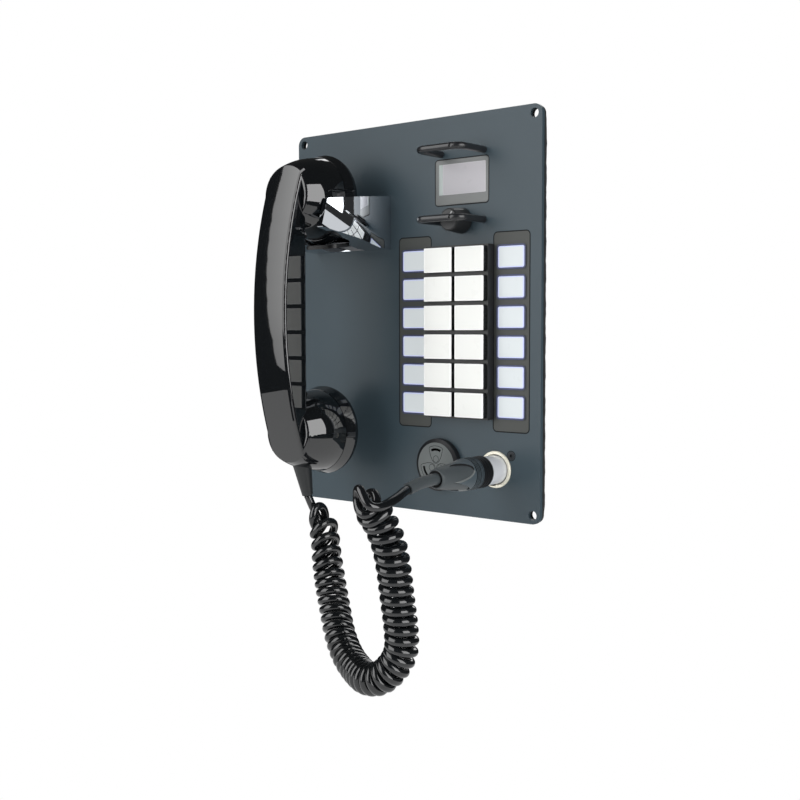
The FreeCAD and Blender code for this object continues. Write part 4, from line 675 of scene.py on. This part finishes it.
TAIL = [(74.8, -112.5, -112.2), (73.2, -116.4, -114.9), (70.5, -119.5, -117.3),
        (66.2, -120.7, -117.9), (60.8, -118.8, -116.3), (57.8, -115.5, -112.5),
        (57.3, -112.9, -107.8), (58.6, -111.2, -103.7), (61.9, -110.7, -101.5),
        (65.8, -111.9, -102.6), (68.9, -114.1, -106.1), (70.1, -117.0, -109.7),
        (69.6, -120.5, -112.1), (67.1, -122.9, -112.9), (63.8, -123.2, -111.4),
        (61.4, -122.3, -107.7), (60.9, -122.1, -103.2), (61.8, -122.8, -98.8),
        (64.4, -123.9, -97.8), (67.3, -124.6, -101.2), (70.4, -125.0, -105.3),
        (73.4, -123.5, -108.0), (75.2, -118.1, -108.2), (75.2, -110.1, -106.2),
        (73.8, -100.7, -104.1), (71.9, -93.7, -102.2), (70.8, -89.0, -101.5)]
# Millimetres along the route where each turn passes the side that faces the view, on the two hanging legs
LEFT_TURNS = [9.8, 18.5, 26.8, 33.8, 40.8, 47.1, 53.5, 60.0, 66.6, 73.3, 80.2, 87.0]
RIGHT_TURNS = [187.6, 194.0, 200.3, 206.4, 212.8, 219.2, 225.9, 232.8, 240.4, 248.0, 255.9, 263.4, 270.9]
BEND_TURNS = 17
# Turns near the handset lean sideways, and those near the plug tip towards the view
LEAN_AT = [10.9, 19.0, 27.2, 33.7, 40.9, 47.1, 53.4, 59.9, 90.0, 125.0]
LEAN = [47.0, 43.0, 36.0, 26.0, 15.0, 5.0, -1.0, -4.0, -4.0, 0.0]
TILT_AT = [5.0, 35.0, 90.0, 135.0, 190.0, 238.0, 249.0, 256.0, 263.0, 270.0]
TILT = [-3.0, -8.0, -8.0, -5.0, -9.0, -9.0, -7.0, -4.0, -1.0, 3.0]
# The radius from the coil's middle to the wire's, and how far the coil stands off its route to the right
RADIUS_AT = [10.0, 30.0, 45.0, 80.0, 110.0, 190.0, 270.0]
RADIUS = [8.8, 8.4, 8.1, 7.85, 7.8, 7.85, 7.8]
SHIFT_AT = [0.0, 20.0, 40.0, 90.0, 185.0, 215.0, 270.0]
SHIFT = [-0.4, -0.4, -0.1, 0.0, 0.0, 0.25, 0.35]
SHIFT_WAY = (0.768, 0.641, 0.0)
# The way that the leaning turns lean, and the way towards the view
SIDEWAYS = np.array((0.9955, 0.0889, 0.0335))
FACING = np.array((0.6397, -0.7661, 0.0613))
# Degrees: how far before its first turn in these lists the coil starts, how far before its last it stops,
# and how far apart its points are
COIL_LEAD = 70.0
COIL_STOP = 62.0
COIL_STEP = 15.0
# Millimetres between the points read along the route, and between those of the finished line
ROUTE_STEP = 0.25
LINE_STEP = 0.9


def turned_frames(base, along):
    # Two directions across the coil at each point, leaned and tipped as the turns are
    side = FACING
    across, other = [], []
    for s, t in zip(along, np.gradient(base, axis=0)):
        a = math.radians(np.interp(s, LEAN_AT, LEAN))
        b = math.radians(np.interp(s, TILT_AT, TILT))
        n = unit(unit(SIDEWAYS * math.sin(a) + unit(t) * math.cos(a)) + FACING * math.tan(b))
        side = unit(side - n * (side @ n))
        across.append(side)
        other.append(np.cross(n, side))
    return np.array(across), np.array(other)


def helix_points():
    # The turns are numbered, so the angle at each is known, and between them it follows the route
    base, along = even(nurbs_points(COIL_ROUTE, resolution=40), ROUTE_STEP)
    base = base + np.outer(np.interp(along, SHIFT_AT, SHIFT), SHIFT_WAY)
    across, other = turned_frames(base, along)
    front = np.unwrap(np.arctan2(other @ FACING, across @ FACING))
    at = np.array(LEFT_TURNS + RIGHT_TURNS)
    first = len(LEFT_TURNS) + BEND_TURNS - 1
    number = np.array(list(range(len(LEFT_TURNS))) + list(range(first, first + len(RIGHT_TURNS))))
    angle_at = np.interp(at, along, front) - 2 * math.pi * number
    per_radian = (at[1] - at[0]) / (angle_at[1] - angle_at[0])
    points = []
    angle = angle_at[0] + math.radians(COIL_LEAD)
    while angle > angle_at[-1] + math.radians(COIL_STOP):
        if angle < angle_at[0]:
            s = np.interp(-angle, -angle_at, at)
        else:
            s = at[0] + (angle - angle_at[0]) * per_radian
        middle, a, b = [np.array([np.interp(s, along, rows[:, j]) for j in range(3)])
                        for rows in (base, across, other)]
        radius = np.interp(s, RADIUS_AT, RADIUS)
        points.append(middle + radius * (math.cos(angle) * a + math.sin(angle) * b))
        angle -= math.radians(COIL_STEP)
    return points


# The plug's backshell and boot: each pair is a distance in front of the panel and the radius there

BOOT_PROFILE = [(26.5, 10.1), (36.0, 9.2), (45.0, 8.3), (55.0, 7.3), (62.0, 6.2), (62.7, 5.9), (63.0, 5.4)]
SHELL_PROFILE = [(26.5, 10.35), (31.0, 10.3), (36.0, 10.1), (42.0, 9.9), (47.0, 9.4), (52.0, 8.1),
                 (56.0, 7.2)]
TAIL_SIDES = 360
TAIL_FROM = -26.5
GROOVED_STEP = 0.2
GROOVED_ROWS = 45
FINE_GROOVES = (-27.4, -28.7, -31.4, -32.6)
FINE_HALF = 0.15
FINE_DEPTH = 0.25
STRONG_GROOVES = (-30.0, -33.9)
STRONG_HALF = 0.25
STRONG_DEPTH = 0.5
# Four round bays, with narrow fingers between them
FINGERS_FROM = -35.5
FINGER_STEP = 0.25
FINGER_ROWS = 76
FINGER_REACH = 16.5
FINGER_CURVE = 2.2
FINGER_R = 9.0
FINGER_T = 0.25
BAY_AT = 24.0
BAY_HALF = 45.0
EDGE_SOFT = 0.5
# Painted light along the fingers' edges, as distances inside the edge: a painted highlight on one edge, which
# stops short of each bay's middle, and a painted shade line on the other
LIT_FROM = -0.15
LIT_TO = 0.3
LIT_OFF = 4.0
DARK_FROM = -0.5
DARK_TO = 0.1
# Material slots: the groove slot also carries painted shade lines, and the last slot is a painted highlight
FINGER, RUBBER, GROOVE_AND_SHADE, LIT_EDGE = range(4)


def radius_at(profile, y):
    distances, radii = zip(*profile)
    return float(np.interp(-y, distances, radii))


def near(y, grooves, reach):
    return min(abs(y - groove_and_shade) for groove_and_shade in grooves) < reach


def bay_offset(theta):
    # Degrees from the middle of the nearest bay
    return (theta - BAY_AT + BAY_HALF) % (2 * BAY_HALF) - BAY_HALF


def finger_gap(theta, y):
    # How far a point lies inside the backshell's edge, measured square to that edge
    share = abs(bay_offset(theta)) / BAY_HALF
    edge = FINGERS_FROM - FINGER_REACH * share ** FINGER_CURVE
    slope = FINGER_REACH * FINGER_CURVE / BAY_HALF * share ** (FINGER_CURVE - 1) / math.radians(FINGER_R)
    return (y - edge) / math.hypot(1.0, slope)


def tail_radius(y, low, high, gap):
    share = min(1.0, max(0.0, gap / EDGE_SOFT + 0.5))
    r = low + (high - low) * share * share * (3 - 2 * share)
    if near(y, FINE_GROOVES, FINE_HALF):
        r -= FINE_DEPTH
    if near(y, STRONG_GROOVES, STRONG_HALF):
        r -= STRONG_DEPTH
    return r


def tail_material(theta, y, gap):
    # One edge of each finger gets a painted highlight, and the other a painted shade line
    if near(y, FINE_GROOVES, 2 * FINE_HALF) or near(y, STRONG_GROOVES, 2 * STRONG_HALF):
        return GROOVE_AND_SHADE
    off = bay_offset(theta)
    lit = (off < 0) == (math.cos(math.radians(theta)) > 0)
    if lit and LIT_FROM < gap < LIT_TO and abs(off) > LIT_OFF:
        return LIT_EDGE
    if not lit and DARK_FROM < gap < DARK_TO:
        return GROOVE_AND_SHADE
    return FINGER if gap > 0 else RUBBER


def plug_tail():
    # Four fingers of the backshell lie on the boot, and fine grooves run round it by the collar
    bm = bmesh.new()
    heights = [TAIL_FROM - GROOVED_STEP * k for k in range(GROOVED_ROWS)]
    heights += [FINGERS_FROM - FINGER_STEP * k for k in range(FINGER_ROWS)]
    thetas = [360.0 * k / TAIL_SIDES for k in range(TAIL_SIDES)]
    gaps = [[finger_gap(theta, y) for theta in thetas] for y in heights]
    rows = []
    for y, gaps_here in zip(heights, gaps):
        low = radius_at(BOOT_PROFILE, y)
        high = max(low + FINGER_T, radius_at(SHELL_PROFILE, y))
        ring = []
        for theta, gap in zip(thetas, gaps_here):
            r = tail_radius(y, low, high, gap)
            a = math.radians(theta)
            ring.append((SOCKET_X + r * math.cos(a), y, SOCKET_Z + r * math.sin(a)))
        rows.append(ring_of(bm, ring))
    for i in range(len(rows) - 1):
        y = (heights[i] + heights[i + 1]) / 2
        for k, theta in enumerate(thetas):
            j = (k + 1) % TAIL_SIDES
            face = bm.faces.new((rows[i][k], rows[i][j], rows[i + 1][j], rows[i + 1][k]))
            gap = (gaps[i][k] + gaps[i + 1][k]) / 2
            face.material_index = tail_material(theta + 180.0 / TAIL_SIDES, y, gap)
    end = [(y, radius_at(BOOT_PROFILE, y), RUBBER) for y in (-56.5, -60.0)]
    end += [(-62.2, 6.15, RUBBER), (-62.7, 5.85, RUBBER), (-63.0, 5.3, RUBBER)]
    end += [(-62.9, 4.95, GROOVE_AND_SHADE), (-62.0, 4.85, GROOVE_AND_SHADE), (-62.0, 3.5, GROOVE_AND_SHADE)]
    last = rows[-1]
    for y, r, mat in end:
        ring = ring_of(bm, circle(SOCKET_X, SOCKET_Z, r, y, TAIL_SIDES))
        bridge(bm, last, ring, mat)
        last = ring
    bm.faces.new(last).material_index = GROOVE_AND_SHADE
    bm.faces.new(rows[0]).material_index = GROOVE_AND_SHADE
    return piece("plug_tail", bm, ROOT, ["finger", "rubber", "groove_and_shade", "painted_highlight"],
                 ("plug_backshell", "plug_boot"), sharp=45)


def cord():
    turns = [tuple(p) for p in helix_points()]
    line, along = even(nurbs_points(HEAD + turns + TAIL, resolution=4), LINE_STEP)
    bm = bmesh.new()
    wire_mesh(bm, line, WIRE_R, WIRE_SIDES)
    made = piece("handset_cord", bm, None, ["cord"],
                 ("cord_coil", "cord_handset_end", "cord_plug_end"), sharp=180)
    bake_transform(made)
    ([plug_tail()] + [NODES[n] for n in ("plug_shell", "plug_latch", "plug_collar",
                                                            "plug_sleeve")])


cord()


# Keys: a pale lens on a black carrier, with a fine groove between the two

KEY_W = 22.6
KEY_H = 16.0
KEY_PITCH_X = 25.3
KEY_PITCH_Z = 18.8
CARRIER_AT = (-1.2, -6.0, -8.7, -9.1)
GROOVE_AT = (-9.0, -9.25)
GROOVE_IN = 0.5
LENS_BACK = -9.2
LENS_FRONT = -10.0
LENS_EDGE = 0.4


def key_cap(number, x, z):
    bm = bmesh.new()
    loft(bm, [rounded_outline(x, z, KEY_W, KEY_H, 0.5, y) for y in CARRIER_AT])
    loft(bm, [rounded_outline(x, z, KEY_W - GROOVE_IN, KEY_H - GROOVE_IN, 0.4, y) for y in GROOVE_AT])
    loft(bm, pad_rings(x, z, KEY_W, KEY_H, corner=0.55, y_back=LENS_BACK, y_front=LENS_FRONT, edge=LENS_EDGE,
                       steps=4), mat=1)
    planar_uv(bm, x, z, KEY_W, KEY_H)
    piece("key_cap_%02d" % number, bm, "key_%02d" % number, ["key side", "key lens"],
          ("key_%02d" % number,), sharp=40)


for row in range(KEY_ROWS):
    for column in range(2):
        key_cap(2 * row + column + 1, KEYS_X + KEY_PITCH_X * (column - 0.5),
                KEYS_Z + KEY_PITCH_Z * ((KEY_ROWS - 1) / 2 - row))


# Legends: lenses with a painted glow, flush with the bezels, each with a dark halo printed round it

LEGEND_W = 20.0
LEGEND_H = 13.5
LEGEND_PITCH = 19.1
LEGEND_BACK = 1.5
LEGEND_FRONT = -0.72
# Each ring of the halo: how far outside the lens it lies, the radius of its corners, and its y
HALO_RINGS = [(0.1, 1.3, -0.83), (1.0, 2.1, -0.83), (1.05, 2.15, -0.78)]


def legend_lenses():
    bm = bmesh.new()
    halo = bmesh.new()
    for x in BEZELS_X:
        for row in range(KEY_ROWS):
            z = KEYS_Z + LEGEND_PITCH * ((KEY_ROWS - 1) / 2 - row)
            first = len(bm.faces)
            loft(bm, pad_rings(x, z, LEGEND_W, LEGEND_H, corner=1.2, y_back=LEGEND_BACK, y_front=LEGEND_FRONT,
                               edge=0.12, steps=2))
            planar_uv(bm, x, z, LEGEND_W, LEGEND_H, first)
            rings = [ring_of(halo, rounded_outline(x, z, LEGEND_W + 2 * grow, LEGEND_H + 2 * grow, corner, y))
                     for grow, corner, y in HALO_RINGS]
            for inner, outer in zip(rings, rings[1:]):
                bridge(halo, inner, outer)
    piece("legend_lenses", bm, ROOT, ["legend lens"], ("legend_displays",), sharp=50)
    piece("legend_halos", halo, ROOT, ["halo"])


legend_lenses()


# Display: the window's surround, with the screen and a narrow strip set in it

WINDOW_W = 42.6
WINDOW_H = 29.4
SCREEN_X = 45.35
SCREEN_Z = 89.8
SCREEN_W = 34.7
SCREEN_H = 19.8
SCREEN_BACK = -0.3
SCREEN_FRONT = -0.42
STRIP_X = 26.5
STRIP_W = 3.1


def display():
    bm = bmesh.new()
    loft(bm, pad_rings(DISPLAY_X, DISPLAY_Z, WINDOW_W, WINDOW_H, corner=2.0, y_back=1.2, y_front=-0.35,
                       edge=0.3))
    piece("display_face", bm, ROOT, ["surround"], ("display_window",), sharp=40)
    bm = bmesh.new()
    loft(bm, pad_rings(SCREEN_X, SCREEN_Z, SCREEN_W, SCREEN_H, corner=0.5, y_back=SCREEN_BACK,
                       y_front=SCREEN_FRONT, edge=0.05, steps=2))
    planar_uv(bm, SCREEN_X, SCREEN_Z, SCREEN_W, SCREEN_H)
    piece("display_screen", bm, ROOT, ["screen"], sharp=40)
    bm = bmesh.new()
    loft(bm, pad_rings(STRIP_X, SCREEN_Z, STRIP_W, SCREEN_H, corner=0.3, y_back=SCREEN_BACK,
                       y_front=SCREEN_FRONT, edge=0.05, steps=2))
    piece("display_strip", bm, ROOT, ["screen strip"], sharp=40)


display()


# Volume knob and its pointer line: each pair is a distance from the knob's axis and a y

KNOB_PROFILE = [(0.01, -0.4), (8.0, -0.4), (8.3, -0.7), (7.3, -13.6), (6.95, -14.5), (6.3, -15.0),
                (0.01, -15.0)]
POINTER_LINE = [(1.4, -15.06), (5.6, -15.06), (6.9, -14.55), (7.33, -13.4), (8.05, -4.0)]
POINTER_HALF = 0.5
POINTER_ANGLE = 60.0


def knob():
    bm = bmesh.new()
    loft(bm, [circle(KNOB_X, KNOB_Z, radius, y, count=96) for radius, y in KNOB_PROFILE])
    piece("knob_cap", bm, "knob", ["knob"], ("volume_knob",), sharp=30)


def knob_pointer():
    bm = bmesh.new()
    a = math.radians(POINTER_ANGLE)
    c, s = math.cos(a), math.sin(a)
    edges = [[(KNOB_X + r * c - side * s, y, KNOB_Z + r * s + side * c) for r, y in POINTER_LINE]
             for side in (-POINTER_HALF, POINTER_HALF)]
    left, right = [ring_of(bm, edge) for edge in edges]
    for i in range(len(POINTER_LINE) - 1):
        bm.faces.new((left[i], left[i + 1], right[i + 1], right[i]))
    piece("knob_pointer", bm, "knob", ["pointer"], sharp=30)


knob()
knob_pointer()


# Dark grooves round the window, the bezels and the socket's screws

PANEL_GROOVE_Y = -0.04
WINDOW_GROOVE_OUT = 0.25
BEZEL_GROOVE_W = 27.6
BEZEL_GROOVE_H = 127.3
SOCKET_SCREWS = [(SOCKET_X + 12.0, SOCKET_Z + 9.5), (SOCKET_X - 12.0, SOCKET_Z - 9.5)]
SOCKET_SCREW_R = 3.1


def ribbon(bm, points, width, y, mat=0):
    # A flat closed line in a plane parallel to the panel
    line = np.array(points, float)
    ahead = np.roll(line, -1, axis=0) - np.roll(line, 1, axis=0)
    ahead /= np.linalg.norm(ahead, axis=1)[:, None]
    out = np.stack([ahead[:, 1], -ahead[:, 0]], axis=1) * width / 2
    rows = [ring_of(bm, [(p[0], y, p[1]) for p in side]) for side in (line + out, line - out)]
    bridge(bm, rows[0], rows[1], mat)


def flat_outline(x, z, width, height, corner):
    return [(p[0], p[2]) for p in rounded_outline(x, z, width, height, corner, 0.0, steps=6)]


def grooves():
    bm = bmesh.new()
    width, height = WINDOW_W + 2 * WINDOW_GROOVE_OUT, WINDOW_H + 2 * WINDOW_GROOVE_OUT
    ribbon(bm, flat_outline(DISPLAY_X, DISPLAY_Z, width, height, corner=2.2), 0.8, PANEL_GROOVE_Y)
    for x in BEZELS_X:
        outline = flat_outline(x, KEYS_Z, BEZEL_GROOVE_W, BEZEL_GROOVE_H, corner=2.8)
        ribbon(bm, outline, 0.75, PANEL_GROOVE_Y)
    for x, z in SOCKET_SCREWS:
        ribbon(bm, around_circle(x, z, SOCKET_SCREW_R, count=40), 0.5, PANEL_GROOVE_Y)
    piece("panel_grooves", bm, ROOT, ["groove_and_shade"])


grooves()


# Outlines on the sounder's cap: three shields round its middle, each with a hole drawn near its point

SOUNDER_FRONT = -5.03
# Half of a shield, from its point outwards: across, and out from the cap's middle
SHIELD_HALF = [(0.0, 1.0), (1.3, 1.3), (2.8, 2.7), (4.3, 5.4), (5.2, 8.4), (5.7, 10.7), (5.2, 11.6),
               (3.4, 12.2), (1.7, 12.6)]
SHIELD_TOP = 12.7
SHIELD_ANGLES = (90.0, 210.0, 330.0)
SHIELD_HOLE_AT = 3.9
SHIELD_HOLE_R = 2.2


def shield(angle, shift):
    points = SHIELD_HALF + [(0.0, SHIELD_TOP)] + [(-u, v) for u, v in SHIELD_HALF[:0:-1]]
    c, s = math.cos(math.radians(angle)), math.sin(math.radians(angle))
    return [(SOUNDER_X + v * c + u * s + shift, SOUNDER_Z + v * s - u * c - shift) for u, v in points]


def shield_hole(angle, shift):
    a = math.radians(angle)
    return around_circle(SOUNDER_X + SHIELD_HOLE_AT * math.cos(a) + shift,
                         SOUNDER_Z + SHIELD_HOLE_AT * math.sin(a) - shift, SHIELD_HOLE_R, count=28)


def sounder_lines():
    # Each outline is a dark line, with a painted highlight line a little below it and to its right
    bm = bmesh.new()
    dark_y = SOUNDER_FRONT - 0.01
    for angle in SHIELD_ANGLES:
        ribbon(bm, shield(angle, shift=0.0), 0.4, dark_y, mat=0)
        ribbon(bm, shield(angle, shift=0.3), 0.25, SOUNDER_FRONT, mat=1)
        ribbon(bm, shield_hole(angle, shift=0.0), 0.35, dark_y, mat=0)
        ribbon(bm, shield_hole(angle, shift=0.28), 0.22, SOUNDER_FRONT, mat=1)
    piece("sounder_outlines", bm, ROOT, ["groove_and_shade", "painted_highlight"])


sounder_lines()


GASKET_FROM_Z = -124.5
GASKET_STEP = 3.0
GASKET_ROWS = 84
GASKET_INNER = 104.2
GASKET_OUTER = 104.6


def gasket_edge():
    # The gasket's cut edge stands a little beyond the panel's right side, unevenly
    bm = bmesh.new()
    rows = []
    for k in range(GASKET_ROWS):
        z = GASKET_FROM_Z + GASKET_STEP * k
        wave = 0.5 + 0.3 * math.sin(z * 0.31) + 0.25 * math.sin(z * 0.83 + 1.0) + 0.15 * math.sin(z * 2.1)
        end = min(1.0, k / 2, (GASKET_ROWS - 1 - k) / 2)
        x = GASKET_OUTER + (0.35 + 0.45 * wave) * end
        rows.append(ring_of(bm, [(GASKET_INNER, 2.6, z), (x, 2.7, z), (x, 5.0, z), (GASKET_INNER, 5.1, z)]))
    for a, b in zip(rows, rows[1:]):
        bridge(bm, a, b)
    bm.faces.new(rows[0])
    bm.faces.new(rows[-1])
    piece("gasket_edge", bm, ROOT, ["gasket"], sharp=50)


gasket_edge()


# Finishes of the CAD pieces, also of some that a piece above stands for

LOOKS = {
    "front_panel": "paint", "panel_gasket": "gasket", "rear_tray": "zinc", "tray_nuts": "screw",
    "rear_cover": "zinc", "rear_cover_screws": "screw", "key_frame": "black", "key_board": "board",
    "board_screws": "screw", "label_bezels": "bezel", "legend_displays": "legend lens",
    "display_window": "surround", "display_module": "black", "display_guard": "guard", "knob_guard": "guard",
    "guard_screws": "screw", "volume_pot": "screw", "pot_nut": "screw", "pot_shaft": "screw",
    "volume_knob": "knob", "cradle_body": "cradle", "cradle_screws": "screw", "hook_bracket": "zinc",
    "hook_pin": "screw", "hook_lever": "black", "hook_spring": "screw", "hook_switch": "black",
    "handset_body": "handle", "ear_cap": "gloss", "mouth_cap": "gloss", "receiver_capsule": "capsule",
    "transmitter_capsule": "capsule", "handset_relief": "relief", "sounder_cap": "sounder",
    "sounder_body": "black", "socket_shell": "ring", "socket_insert": "black", "socket_screws": "dark metal",
    "plug_shell": "silver", "plug_latch": "black", "plug_collar": "collar", "plug_backshell": "rubber",
    "plug_boot": "rubber", "plug_sleeve": "rubber", "main_board": "board",
}
for name, key in LOOKS.items():
    mesh = NODES[name].data
    mesh.materials.clear()
    mesh.materials.append(M[key])

# Flat faces stay flat beside their rounded edges
for name in ("handset_body", "ear_cap", "mouth_cap", "cradle_body"):
    even_normals = NODES[name].modifiers.new("weighted normals", "WEIGHTED_NORMAL")
    even_normals.mode = "FACE_AREA"
    even_normals.weight = 100
    even_normals.keep_sharp = True
